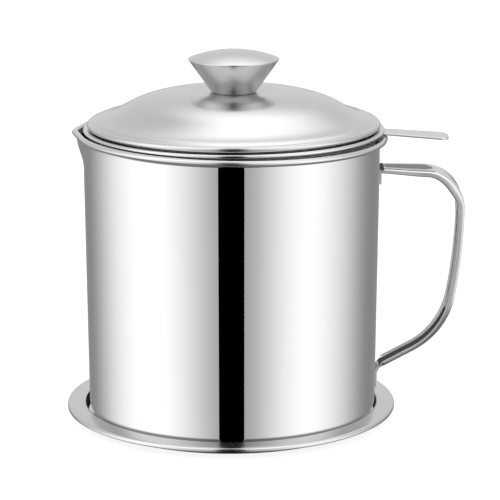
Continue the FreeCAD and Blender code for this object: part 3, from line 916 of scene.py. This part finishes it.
# ---- handle -------------------------------------------------------------------------------------
@dataclass
class StrapHandle(SubAssembly):
    """The pressed channel strap, one piece with the two tongues that are welded to the wall.

    Attributes:
        sheet: thickness.
        start_x: where the upper arm's line meets the wall.
        start_z: its height there.
        dip: degrees that the upper arm falls.
        draft: degrees that the folded sides lean outwards.
        wall_low: the wall's radius behind the lower tongue.
        wall_high: the wall's radius behind the upper tongue.
        tongue: width of the tongues.
        upper_foot: height of the upper tongue's end.
        lower_foot: height of the lower tongue's end.
        shade_top: up to which height the channel's inside gets the dark steel of painted shade.
        panel_depth: depth of the panel pressed into the upper arm.
        panel_start: where along X it starts.
        panel_end: where it ends.
        panel_round: length of its rounded end.
        panel_share: its share of the arm's flat width.
        runs: (length, turn in degrees) of each run.
        widths: at the start of each run, and at the end of the last.
        depths: the same for the folded sides.
        folds: the same for the radius of the folds.
        tips: the same for the length of the rounding at the sides' edges.
    """

    sheet: float = 1.0
    start_x: float = 63.6
    start_z: float = 110.7
    dip: float = 2.05
    draft: float = 8.0
    wall_low: float = 63.2
    wall_high: float = 64.2
    tongue: float = 10.0
    upper_foot: float = 103.2
    lower_foot: float = 11.6
    shade_top: float = 46.0
    panel_depth: float = 0.15
    panel_start: float = 66.4
    panel_end: float = 87.4
    panel_round: float = 4.5
    panel_share: float = 0.7
    runs: tuple[Point, ...] = ((21.05, 0.0), (15.81, 53.61), (10.54, 35.74), (4.6, 0.0), (34.85, 8.25),
                               (31.72, 52.0), (18.0, 0.0))
    widths: tuple[float, ...] = (13.8, 18.4, 18.8, 19.0, 19.0, 16.4, 12.5, 12.5)
    depths: tuple[float, ...] = (2.25, 2.75, 4.1, 2.8, 2.4, 2.6, 2.05, 2.05)
    folds: tuple[float, ...] = (1.25, 1.35, 2.6, 0.8, 0.8, 0.9, 0.8, 0.8)
    tips: tuple[float, ...] = (0.45, 0.5, 0.9, 0.8, 0.7, 0.6, 0.45, 0.45)

    def size_at(self, sizes: tuple[float, ...], place: Place) -> float:
        """The value of a size that changes smoothly along each run."""
        return sizes[place.run] + (sizes[place.run + 1] - sizes[place.run]) * smooth(place.share)

    def panel(self, place: Place) -> Point:
        """The pressed panel's share of the flat width, and its depth, at a place."""
        if place.z < self.upper_foot - 10 or not self.panel_start < place.x < self.panel_end:
            return 0.3, 0.0
        past = max(0.0, place.x - self.panel_end + self.panel_round) / self.panel_round
        fade = min(1.0, (place.x - self.panel_start) / 0.9, (self.panel_end - place.x) / 0.6)
        return max(0.3, self.panel_share * math.sqrt(1 - past * past)), self.panel_depth * smooth(fade)

    def channel(self, place: Place) -> list[Point]:
        """Half of the channel's section.

        Args:
            place: where on the strap.

        Returns:
            (across, deep) points from the middle of the outer face round the folded side to the
            middle of the inner face.
        """
        half, depth = self.size_at(self.widths, place) / 2, self.size_at(self.depths, place)
        fold = self.size_at(self.folds, place)
        wide, sunk = self.panel(place)
        lean = math.tan(math.radians(self.draft))
        lip, tip = self.sheet / 2, self.size_at(self.tips, place)
        flat = half - (depth - fold) * lean - fold
        steps = ((0.0, 1.0), (0.5, 1.0), (0.84, 1.0), (0.92, 0.9), (1.0, 0.1), (1.06, 0.0))
        face = [(flat * wide * t, sunk * level) for t, level in steps] + [(flat, 0.0)]
        side = arc_points((flat, fold), fold, -75.0, -self.draft, 8)
        edge = [(half - lip + lip * math.cos(turn), depth - tip + tip * math.sin(turn))
                for turn in (math.radians(degrees) for degrees in (5.0, 20.0, 35.0, 50.0, 65.0, 80.0, 100.0))]
        edge += [(half - 2 * lip + 0.06, depth - 0.15), (half - 2 * lip, depth - 0.4)]
        inner = half - self.sheet - (depth - self.sheet) * lean
        hollow = max(0.4, fold - self.sheet)
        bend = arc_points((inner - hollow, self.sheet + hollow), hollow, -self.draft, -80.0, 3)
        back = [((inner - hollow) * t, self.sheet + sunk * level)
                for t, level in ((0.9, 0.0), (0.6, 1.0), (0.3, 1.0), (0.0, 1.0))]
        return face + side + edge + bend + back

    def flat_strip(self) -> list[Point]:
        """Half of a tongue's section, with as many points as the channel's."""
        half, low = self.tongue / 2, self.sheet
        face = [((half - 0.3) * t, 0.0) for t in (0.0, 0.2, 0.4, 0.6, 0.8, 0.92, 1.0)]
        side = arc_points((half - 0.3, 0.3), 0.3, -75.0, 0.0, 8)
        edge = arc_points((half - 0.3, low - 0.3), 0.3, 0.0, 90.0, 8)
        bend = [((half - 0.3) * t, low) for t in (0.97, 0.94, 0.9, 0.86)]
        back = [((half - 0.3) * t, low) for t in (0.75, 0.5, 0.25, 0.0)]
        return face + side + edge + bend + back

    def section(self, place: Place, flatness: float, wrap: float) -> list[Vector]:
        """The strap's whole section.

        Args:
            place: where on the strap.
            flatness: 0 for the channel, 1 for the flat tongue.
            wrap: how much the strip follows the round wall, from 0 to 1.

        Returns:
            The section's corners in millimetres.
        """
        half = [(a[0] + (b[0] - a[0]) * flatness, a[1] + (b[1] - a[1]) * flatness)
                for a, b in zip(self.channel(place), self.flat_strip())]
        loop = half + [(-across, deep) for across, deep in half[-2:0:-1]]
        corners = [place.point(across, deep) for across, deep in loop]
        for corner in corners:
            corner.x -= wrap * corner.y ** 2 / (2 * self.wall_high)
        return corners

    def build(self) -> None:
        """Makes the strap, and the upper tongue that comes out from under its face."""
        slope = math.tan(math.radians(self.dip))
        play = 0.05
        arm = follow(Place(self.start_x, self.start_z, -math.radians(self.dip)), self.runs, 1.2)
        arm = [place for place in arm if place.x > self.wall_high + 0.3 or place.z < self.upper_foot]
        high, low = self.wall_high + play, self.wall_low + play + self.sheet
        lower_arm = [place for place in arm if place.z > self.upper_foot or place.x > self.wall_low + 6.5]
        last = lower_arm[-1]
        lower_slope = math.tan(last.heading)
        lower = rounded([(last.x - 0.3, last.z - 0.3 * lower_slope),
                         (low, last.z - (last.x - low) * lower_slope), (low, self.lower_foot)], [4.0], 12)
        chain = [(place, 0.0) for place in lower_arm]
        chain += [(place, self.lower_end(place)) for place in places_on(lower, 0.45, len(self.runs) - 1, 1.0)]
        mesh = swept([self.section(place, flatness, flatness) for place, flatness in chain])
        under = self.start_z - 0.15
        upper = rounded([(high, self.upper_foot), (high, under - slope * (high - self.start_x)),
                         (high + 3.2, under - slope * (high + 3.2 - self.start_x))], [1.2], 10)
        tongue = swept([self.section(place, 1.0, 1.0) for place in places_on(upper, 0.6, 0, 0.0)])
        joined = bpy.data.meshes.new("upper_tongue")
        tongue.to_mesh(joined)
        tongue.free()
        mesh.from_mesh(joined)
        bpy.data.meshes.remove(joined)
        strap = self.add_piece(mesh, "handle_strap", HANDLE, Slot.HANDLE, ("pot_handle",), crease=40.0)
        # Painted shade: the lower run's inside and the corner by the upper weld get a dark steel.
        self.refinish(strap, CHANNEL_PAINTED_SHADE, lambda middle: self.in_channel_painted_shade(middle, arm))
        # Painted reflection: the pressed panel's floor gets the darker steel.
        self.refinish(strap, PANEL_PAINTED_REFLECTION, lambda middle: self.is_panel(middle, arm))
        strap.visible_glossy = False

    def nearest(self, middle: Vector, arm: list[Place]) -> tuple[Place, float]:
        """The strap's place nearest to a point, and how deep below its outer face the point lies."""
        place = min(arm, key=lambda here: (here.x - middle.x) ** 2 + (here.z - middle.z) ** 2)
        aside, above = middle.x - place.x, middle.z - place.z
        return place, aside * math.sin(place.heading) - above * math.cos(place.heading)

    def in_channel_painted_shade(self, middle: Vector, arm: list[Place]) -> bool:
        """Says whether a face gets the dark steel of painted shade.

        Args:
            middle: of the face.
            arm: the places along the channel.

        Returns:
            True on the bottom of the lower run's inside, and in the corner by the weld at the upper end,
            where shade is painted.
        """
        place, deep = self.nearest(middle, arm)
        inner = self.size_at(self.widths, place) / 2 - self.sheet * 1.3
        inside = 0.8 * self.sheet < deep < 1.12 * self.sheet and abs(middle.y) < inner \
            and middle.z < self.shade_top
        return inside or (middle.x < self.wall_high + 1.7 and middle.z > self.start_z - 1.3)

    def is_panel(self, middle: Vector, arm: list[Place]) -> bool:
        """Says whether a face lies on the floor of the pressed panel, whose darker steel is a painted
        reflection of the lift tab above.
        """
        place, deep = self.nearest(middle, arm)
        wide, sunk = self.panel(place)
        flat = self.size_at(self.widths, place) / 2 - self.size_at(self.folds, place)
        return sunk > 0 and deep < 0.3 and abs(middle.y) < wide * flat

    def lower_end(self, place: Place) -> float:
        """How flat the strip is near the lower tongue."""
        return 1 - smooth((place.x - self.wall_low - 2.4) / 1.8)


# ---- strainer -----------------------------------------------------------------------------------
@dataclass
class Strainer(SubAssembly):
    """The drop-in strainer: a pressed ring, a lift tab, the wire cloth and the hoop that holds it.

    Attributes:
        centre: where its axis stands along X.
        sheet: thickness of ring and hoop.
        collar_radius: outside of the ring's wall.
        collar_foot: height of the ring's lower edge.
        lip_radius: outside of the ring's lip.
        lip_edge: height of the lip's lower edge.
        lip_top: height of the lip's top.
        lip_bend: inner radius of its bends.
        hoop_radius: outside of the hoop.
        hoop_height: height of the hoop.
        tab_sheet: thickness of the lift tab.
        tab_dip: degrees that the tab falls.
        tab_top: height of its top face over the bead.
        tab_at: where along X that height is.
        tab_tip: where along X the tab ends.
        tab_widths: at its root and at its tip.
        tab_corner: radius of the tip's corners.
        tab_foot: height of the end that is welded to the ring.
        wire: diameter of the cloth's wires.
        pitch: between wires.
        cloth_radius: middle of the cloth at its upright edge.
        cloth_depth: from the ring's foot down to the middle of the bowl's bottom.
        cloth_flat: radius of the flat bottom.
        cloth_edge: height of the upright edge.
    """

    centre: float = SEAT_SHIFT
    sheet: float = 0.5
    collar_radius: float = 62.4
    collar_foot: float = 114.0
    lip_radius: float = 65.2
    lip_edge: float = 126.65
    lip_top: float = 127.75
    lip_bend: float = 0.3
    hoop_radius: float = 61.1
    hoop_height: float = 6.0
    tab_sheet: float = 1.0
    tab_dip: float = 4.1
    tab_top: float = 125.97
    tab_at: float = 66.25
    tab_tip: float = 93.8
    tab_widths: Point = (11.5, 15.4)
    tab_corner: float = 4.0
    tab_foot: float = 123.7
    wire: float = 0.35
    pitch: float = 1.6
    cloth_radius: float = 61.5
    cloth_depth: float = 40.3
    cloth_flat: float = 6.0
    cloth_edge: float = 6.0

    def build_collar(self) -> None:
        """Makes the pressed ring."""
        shelf, edge = self.lip_top - self.sheet, self.lip_radius - self.sheet
        corners = [(self.collar_radius, self.collar_foot), (self.collar_radius, shelf), (edge, shelf),
                   (edge, self.lip_edge)]
        path = rounded(corners, [self.lip_bend, self.lip_bend], 7)
        mesh = lathe(sheet_outline(path, self.sheet), self.centre, segments=300)
        self.add_piece(mesh, "strainer_ring", BRIGHT_RIM, Slot.RIM, ("strainer_collar",))

    def build_hoop(self) -> None:
        """Makes the band that clamps the cloth to the ring."""
        path = [(self.hoop_radius, self.collar_foot), (self.hoop_radius, self.collar_foot + self.hoop_height)]
        mesh = lathe(sheet_outline(path, self.sheet), self.centre, segments=240)
        self.add_piece(mesh, "strainer_hoop", BRIGHT_RIM, Slot.RIM, ("mesh_hoop",))

    def tab_half(self, x: float) -> float:
        """Half the tab's width at x."""
        root = self.collar_radius + self.centre
        share = max(0.0, (x - root) / (self.tab_tip - root))
        half = (self.tab_widths[0] + (self.tab_widths[1] - self.tab_widths[0]) * share) / 2
        short = max(0.0, x - self.tab_tip + self.tab_corner)
        if not short:
            return half
        return half - self.tab_corner + math.sqrt(max(0.0, self.tab_corner ** 2 - short ** 2))

    def build_tab(self) -> None:
        """Makes the lift tab: a foot on the ring, a bend, and a blade with rounded corners."""
        root = self.collar_radius + self.centre + 0.05
        slope = math.tan(math.radians(self.tab_dip))
        top = self.tab_top + slope * (self.tab_at - root)
        corners = [(root, self.tab_foot), (root, top), (self.tab_tip, top - slope * (self.tab_tip - root))]
        places = places_on(rounded(corners, [1.3], 10), 0.5, 0, 0.0)
        sections = []
        for place in places:
            half = self.tab_half(place.x)
            edge = min(0.42, half * 0.2)
            low = self.tab_sheet
            flat = (-0.6, -0.3, 0.0, 0.3, 0.6)
            side = arc_points((half - edge, edge), edge, -90.0, 0.0, 5)
            side += arc_points((half - 0.3, low - 0.3), 0.3, 0.0, 90.0, 4)
            loop = [(half * t, 0.0) for t in flat] + side + [(-half * t, low) for t in flat]
            loop += [(-across, deep) for across, deep in reversed(side)]
            wrap = max(0.0, math.sin(place.heading)) / (2 * self.collar_radius)
            section = [place.point(across, deep) for across, deep in loop]
            for corner in section:
                corner.x -= wrap * corner.y ** 2
            sections.append(section)
        self.add_piece(swept(sections), "strainer_lift_tab", BRIGHT_RIM, Slot.RIM, ("strainer_tab",),
                       crease=50.0)

    def cloth_place(self, distance: float) -> tuple[float, float, float]:
        """A place on the cloth's middle surface.

        Args:
            distance: from the bowl's middle, measured along the cloth.

        Returns:
            Radius, height, and the surface's tilt in radians: 0 at the bottom, a right angle at the edge.
        """
        if distance <= self.cloth_flat:
            return distance, self.collar_foot - self.cloth_depth, 0.0
        wide, deep = self.cloth_radius - self.cloth_flat, self.cloth_depth
        turn, left, step = 0.0, distance - self.cloth_flat, math.radians(0.5)
        while turn < math.pi / 2:
            middle = turn + step / 2
            length = step * math.hypot(wide * math.cos(middle), deep * math.sin(middle))
            if length >= left:
                turn += step * left / length
                return (self.cloth_flat + wide * math.sin(turn), self.collar_foot - deep * math.cos(turn),
                        math.atan2(deep * math.sin(turn), wide * math.cos(turn)))
            left -= length
            turn += step
        return self.cloth_radius, self.collar_foot + left, math.pi / 2

    def build_cloth(self) -> None:
        """Weaves the wire cloth: wires both ways, each over and under the others in turn."""
        spacing, places = 0.25, 1000
        table = [self.cloth_place(spacing * index) for index in range(places)]
        reach = 0.0
        while self.cloth_place(reach)[1] < self.collar_foot + self.cloth_edge - 0.3:
            reach += spacing
        count = int(reach / self.pitch)
        for name, across_first in (("strainer_warp_wires", False), ("strainer_weft_wires", True)):
            curve = bpy.data.curves.new(name, "CURVE")
            curve.dimensions = "3D"
            curve.bevel_depth = self.wire / 2 * MM
            curve.bevel_resolution = 0
            curve.use_fill_caps = True
            for number in range(-count, count + 1):
                aside = number * self.pitch
                half = int(math.sqrt(max(0.0, reach ** 2 - aside ** 2)) / self.pitch * 2)
                if half < 2:
                    continue
                points = []
                for step in range(-half, half + 1):
                    along = step * self.pitch / 2
                    wave = self.wire / 2 * math.cos(math.pi * (step / 2 + number))
                    wave = -wave if across_first else wave
                    distance = math.hypot(aside, along)
                    radius, height, tilt = table[min(places - 1, round(distance / spacing))]
                    radius -= wave * math.sin(tilt)
                    height += wave * math.cos(tilt)
                    x, y = (along, aside) if across_first else (aside, along)
                    scale = radius / distance if distance else 1.0
                    points += [(x * scale + self.centre) * MM, y * scale * MM, height * MM, 1.0]
                spline = curve.splines.new("POLY")
                spline.points.add(len(points) // 4 - 1)
                spline.points.foreach_set("co", points)
            holder = bpy.data.objects.new(name, curve)
            bpy.context.scene.collection.objects.link(holder)
            graph = bpy.context.evaluated_depsgraph_get()
            woven = bpy.data.meshes.new_from_object(holder.evaluated_get(graph))
            mesh = bmesh.new()
            mesh.from_mesh(woven)
            bpy.data.objects.remove(holder)
            bpy.data.meshes.remove(woven)
            bpy.data.curves.remove(curve)
            stands_for = () if across_first else ("strainer_mesh",)
            self.add_piece(mesh, name, WIRE, Slot.WIRE, stands_for, crease=80.0)

    def build(self) -> None:
        """Makes the strainer's pieces."""
        self.build_collar()
        self.build_tab()
        self.build_hoop()
        self.build_cloth()


# ---- lid ----------------------------------------------------------------------------------------
@dataclass
class Lid(SubAssembly):
    """The domed lid and its hollow knob.

    Attributes:
        centre: where its axis stands along X.
        sheet: thickness of the lid.
        base: height of its lower edge.
        seat_radius: flat under the knob.
        seat_height: over the base.
        dome: (radius, height over the base) that the top passes through.
        roll: radius of the rolled edge.
        edge_radius: outside of the rolled edge.
        skirt_radius: outside of the skirt.
        skirt_drop: how far it reaches below the base.
        skirt_bend: radius between rolled edge and skirt.
        bore: radius of the screw's hole.
        knob_sheet: thickness of the knob.
        foot_radius: of the knob's cone.
        mouth_radius: of the knob's cone.
        knob_base: height of the cone's foot.
        knob_top: height of the cone's mouth.
        cap_radius: of the knob's cap.
        cap_edge: height of the cap's widest edge.
        cap_crown: how far its middle rises over that.
        cap_gap: between cone and cap.
        spigot: how far the cap reaches into the cone.
    """

    centre: float = SEAT_SHIFT
    sheet: float = 0.6
    base: float = 128.05
    seat_radius: float = 10.3
    seat_height: float = 15.0
    dome: tuple[Point, ...] = ((19.0, 15.45), (29.0, 14.8), (38.0, 12.85), (45.0, 10.15), (49.0, 7.95),
                               (52.0, 6.4), (55.5, 4.87), (58.5, 4.0), (60.5, 3.32))
    roll: float = 1.3
    edge_radius: float = 63.45
    skirt_radius: float = 61.2
    skirt_drop: float = 4.4
    skirt_bend: float = 0.36
    bore: float = 2.06
    knob_sheet: float = 0.7
    foot_radius: float = 9.65
    mouth_radius: float = 19.4
    knob_base: float = 143.05
    knob_top: float = 156.95
    cap_radius: float = 19.65
    cap_edge: float = 157.55
    cap_crown: float = 3.75
    cap_gap: float = 0.2
    spigot: float = 2.2

    def build_shell(self) -> None:
        """Makes the dome with its rolled edge and skirt."""
        roll_radius = self.edge_radius - self.roll
        knots = [(self.seat_radius, self.seat_height), *self.dome, (roll_radius, 2 * self.roll)]
        top = smooth_line(knots, 0.8, 0.02, -0.12)
        path = [(self.bore, self.seat_height)] + top
        path += arc_points((roll_radius, self.roll), self.roll, 84.0, -90.0, 16)
        path += rounded([(roll_radius - 0.1, 0.0), (self.skirt_radius, 0.0),
                         (self.skirt_radius, -self.skirt_drop)], [self.skirt_bend], 6)
        path = [(r, self.base + z) for r, z in path]
        mesh = lathe(sheet_outline(path, -self.sheet), self.centre, segments=300)
        self.add_piece(mesh, "lid_dome", SATIN, Slot.SATIN, ("lid_shell",))

    def build_cone(self) -> None:
        """Makes the knob's hollow cone."""
        corners = [(self.bore, self.knob_base), (self.foot_radius, self.knob_base),
                   (self.mouth_radius, self.knob_top)]
        path = rounded(corners, [0.6], 6)
        mesh = lathe(sheet_outline(path, self.knob_sheet), self.centre, segments=240)
        self.add_piece(mesh, "knob_body", SATIN_KNOB, Slot.SATIN, ("knob_cone",))

    def crown(self, radius: float, drop: float) -> Point:
        """A point of the cap's crown.

        Args:
            radius: from the knob's axis.
            drop: below the outer face.

        Returns:
            (radius, height).
        """
        ball = (self.cap_radius ** 2 + self.cap_crown ** 2) / (2 * self.cap_crown)
        return radius, self.cap_edge + self.cap_crown - ball + math.sqrt(ball ** 2 - radius ** 2) - drop

    def build_cap(self) -> None:
        """Makes the knob's crowned cap, which grips inside the cone."""
        lean = (self.mouth_radius - self.foot_radius) / (self.knob_top - self.knob_base)
        grip = self.mouth_radius - self.knob_sheet * math.hypot(1.0, lean) - 0.05
        low = self.knob_top - self.spigot
        brim = self.knob_top + self.cap_gap
        outer = [self.crown(self.cap_radius * step / 24, 0.0) for step in range(23)]
        corners = [outer[-1], self.crown(self.cap_radius, 0.0), (self.cap_radius, brim), (grip, brim),
                   (grip - self.spigot * lean, low), (grip - self.spigot * lean - self.knob_sheet, low)]
        edge = rounded(corners, [0.5, 0.15, 0.1, 0.15], 5)
        inner_radius = grip - self.knob_sheet
        under = [self.crown(inner_radius * (1 - step / 8), self.knob_sheet) for step in range(9)]
        mesh = lathe(outer[:-1] + edge + under, self.centre, segments=240, closed=False)
        self.add_piece(mesh, "knob_cap_disc", SATIN_KNOB, Slot.SATIN, ("knob_cap",))

    def build_fasteners(self) -> None:
        """Gives the screw, nut and washers broken edges."""
        rows = (("knob_fixing_screw", "knob_screw", 0.12), ("knob_fixing_nut", "knob_nut", 0.25),
                ("knob_plain_washer", "knob_flat_washer", 0.12),
                ("knob_split_washer", "knob_spring_washer", 0.1))
        for name, node, width in rows:
            mesh = bmesh.new()
            mesh.from_mesh(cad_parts[node].data)
            bmesh.ops.remove_doubles(mesh, verts=mesh.verts, dist=1e-6)
            bmesh.ops.dissolve_limit(mesh, angle_limit=math.radians(1.0), verts=mesh.verts, edges=mesh.edges)
            sharp = [edge for edge in mesh.edges
                     if edge.is_manifold and edge.calc_face_angle() > math.radians(50)]
            bmesh.ops.bevel(mesh, geom=sharp, offset=width * MM, offset_type="OFFSET", segments=2,
                            profile=0.5, affect="EDGES", material=-1, clamp_overlap=True)
            self.add_piece(tidy(mesh), name, ZINC, Slot.ZINC, (node,), crease=30.0)

    def build(self) -> None:
        """Makes the lid's pieces."""
        self.build_shell()
        self.build_cone()
        self.build_cap()
        self.build_fasteners()


# ---- studio -------------------------------------------------------------------------------------
@dataclass
class Studio:
    """The camera, the floor and the surroundings that the steel reflects.

    Attributes:
        camera_place: in metres.
        pitch: degrees that the camera looks down.
        lens: focal length in millimetres on a 36 mm sensor.
        left_box: azimuth in degrees from -Y, strength and sharpness of the left softbox.
        right_box: the same for the right one.
        dim: level away from every light.
        flag_low: left, near and lower corner of the dark flag in front, in metres.
        flag_high: its right, near and upper corner.
        ground: share of that light from below.
        front_top: level high up in front.
        back_low: how much lighter it is behind the object.
        back: level of the wall behind the object.
        overhead: strength of the softbox above.
        overhead_shift: how far that softbox stands to the right.
        floor_size: in metres.
        floor_grey: share of the light that the floor gives back.
        floor_lift: how much lighter the camera sees it.
        below, high_front, far_front, over_horizon, behind: where the surroundings change, as the part of
            the direction at which a change starts and ends.
        overhead_aside, overhead_rise, overhead_near: the same for the softbox above.
    """

    camera_place: tuple[float, float, float] = (0.00791, -1.00637, 0.31157)
    pitch: float = 13.346
    lens: float = 169.8
    left_box: tuple[float, float, float] = (-67.0, 1.5, 2.2)
    right_box: tuple[float, float, float] = (63.0, 1.4, 2.9)
    dim: float = 0.2
    flag_low: tuple[float, float, float] = (-0.0203, -0.15, -0.2)
    flag_high: tuple[float, float, float] = (0.0208, -0.15, 0.27)
    ground: float = 0.22
    back_low: float = 0.12
    front_top: float = 1.8
    back: float = 0.85
    overhead: float = 1.9
    overhead_shift: float = 0.14
    floor_size: float = 12.0
    floor_grey: float = 0.2
    floor_lift: float = 0.88
    below: Point = (-0.38, -0.56)
    high_front: Point = (0.45, 0.6)
    far_front: Point = (-0.25, -0.45)
    over_horizon: Point = (-0.07, 0.03)
    behind: Point = (-0.2, 0.35)
    overhead_aside: Point = (0.5, 0.18)
    overhead_rise: Point = (0.45, 0.92)
    overhead_near: Point = (0.12, 0.28)

    def add_camera(self) -> None:
        """Places the camera."""
        data = bpy.data.cameras.new("camera")
        data.lens = self.lens
        data.sensor_width = 36.0
        camera = bpy.data.objects.new("camera", data)
        camera.location = self.camera_place
        camera.rotation_euler = (math.radians(90 - self.pitch), 0.0, 0.0)
        bpy.context.scene.collection.objects.link(camera)
        bpy.context.scene.camera = camera

    def add_board(self, name: str, place: Matrix, material: bpy.types.Material) -> bpy.types.Object:
        """Adds a flat board to the stage.

        Args:
            name: the board's name.
            place: puts a metre square that lies round the origin in its place.
            material: its surface.

        Returns:
            The board.
        """
        mesh = bmesh.new()
        bmesh.ops.create_grid(mesh, x_segments=1, y_segments=1, size=0.5)
        bmesh.ops.transform(mesh, matrix=place, verts=mesh.verts)
        data = bpy.data.meshes.new(name)
        mesh.to_mesh(data)
        mesh.free()
        data.materials.append(material)
        board = bpy.data.objects.new(name, data)
        bpy.context.scene.collection.objects.link(board)
        return board

    def add_floor(self) -> None:
        """Lays the plain pale floor, which keeps the object's shadow."""
        material, graph = new_material("pale_floor")
        path = graph.add("ShaderNodeLightPath")
        matt = graph.add("ShaderNodeBsdfDiffuse", {"Color": (*grey(self.floor_grey), 1.0)})
        strength = graph.math("MULTIPLY", path.outputs["Is Camera Ray"], self.floor_lift)
        lift = graph.add("ShaderNodeEmission", {"Color": (*grey(1.0), 1.0), "Strength": strength})
        both = graph.add("ShaderNodeAddShader", {0: matt.outputs[0], 1: lift.outputs[0]})
        graph.add("ShaderNodeOutputMaterial", {"Surface": both.outputs[0]})
        wide = Matrix.Diagonal((self.floor_size, self.floor_size, 1.0, 1.0))
        floor = self.add_board("floor", wide, material)
        floor.visible_glossy = False

    def add_flag(self) -> None:
        """Hangs the dark flag between the softboxes, which only reflections see."""
        material, graph = new_material("black_felt")
        black = graph.add("ShaderNodeBsdfDiffuse", {"Color": (*grey(0.0), 1.0)})
        graph.add("ShaderNodeOutputMaterial", {"Surface": black.outputs[0]})
        low, high = Vector(self.flag_low), Vector(self.flag_high)
        size = high - low
        upright = Matrix.Rotation(math.radians(90), 4, "X") @ Matrix.Diagonal((size.x, size.z, 1.0, 1.0))
        flag = self.add_board("dark_flag", Matrix.Translation((low + high) / 2) @ upright, material)
        flag.visible_camera = flag.visible_diffuse = flag.visible_shadow = flag.visible_transmission = False

    def box_light(self, graph: Graph, level: bpy.types.NodeSocket,
                  box: tuple[float, float, float]) -> bpy.types.NodeSocket:
        """A tall softbox that fades away to both sides.

        Args:
            graph: the world's graph.
            level: the direction's level part, with length 1.
            box: azimuth, strength and sharpness.

        Returns:
            Its light.
        """
        azimuth, strength, sharpness = box
        angle = math.radians(azimuth)
        facing = graph.vector("DOT_PRODUCT", level, (math.sin(angle), -math.cos(angle), 0.0), "Value")
        lobe = graph.math("POWER", graph.math("MAXIMUM", facing, 0.0), sharpness)
        return graph.math("MULTIPLY", lobe, strength)

    def add_world(self) -> None:
        """Builds the surroundings: two tall softboxes, one overhead and a pale wall."""
        world = bpy.data.worlds.new("studio")
        bpy.context.scene.world = world
        world.use_nodes = True
        world.node_tree.nodes.clear()
        graph = Graph(world.node_tree)
        direction = graph.add("ShaderNodeTexCoord").outputs["Generated"]
        parts = graph.add("ShaderNodeSeparateXYZ", {0: direction}).outputs
        flat = graph.vector("MULTIPLY", direction, (1.0, 1.0, 0.0), "Vector")
        level = graph.vector("NORMALIZE", flat, (0.0, 0.0, 0.0), "Vector")
        sides = graph.math("ADD", self.box_light(graph, level, self.left_box),
                           self.box_light(graph, level, self.right_box))
        sides = graph.math("ADD", sides, self.dim)
        under = graph.ramp(parts["Z"], *self.below)
        sides = graph.mix(under, sides, graph.math("MULTIPLY", sides, self.ground))
        above = graph.math("MULTIPLY", graph.ramp(parts["Z"], *self.high_front),
                           graph.ramp(parts["Y"], *self.far_front))
        sides = graph.mix(above, sides, self.front_top)
        high, back = graph.ramp(parts["Z"], *self.over_horizon), graph.ramp(parts["Y"], *self.behind)
        low = graph.math("ADD", sides, graph.math("MULTIPLY", back, self.back_low))
        walls = graph.mix(graph.math("MULTIPLY", high, back), low, self.back)
        aside = graph.math("ABSOLUTE", graph.math("SUBTRACT", parts["X"], self.overhead_shift))
        over = graph.math("MULTIPLY", graph.ramp(parts["Z"], *self.overhead_rise),
                          graph.ramp(aside, *self.overhead_aside))
        over = graph.math("MULTIPLY", over, graph.ramp(parts["Y"], *self.overhead_near))
        lit = graph.mix(over, walls, self.overhead)
        path = graph.add("ShaderNodeLightPath")
        seen = graph.mix(path.outputs["Is Camera Ray"], lit, 1.0)
        shade = graph.add("ShaderNodeBackground", {"Color": (*grey(1.0), 1.0), "Strength": seen})
        graph.add("ShaderNodeOutputWorld", {"Surface": shade.outputs[0]})

    def build(self) -> None:
        """Sets up the whole studio."""
        self.add_camera()
        self.add_floor()
        self.add_flag()
        self.add_world()
        bpy.context.scene.view_settings.view_transform = "Standard"


def main() -> None:
    """Builds every sub-assembly and the studio."""
    logging.basicConfig(level=logging.INFO, format="%(message)s")
    workshop = Workshop()
    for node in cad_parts.values():
        node.data.materials.clear()
        node.data.materials.append(workshop.dress(SATIN))
    DripTray(workshop, Body.TRAY).build()
    Pot(workshop, Body.POT).build()
    StrapHandle(workshop, Body.POT).build()
    Strainer(workshop, Body.STRAINER).build()
    Lid(workshop, Body.LID).build()
    Studio().build()


if __name__ == "__main__":
    main()
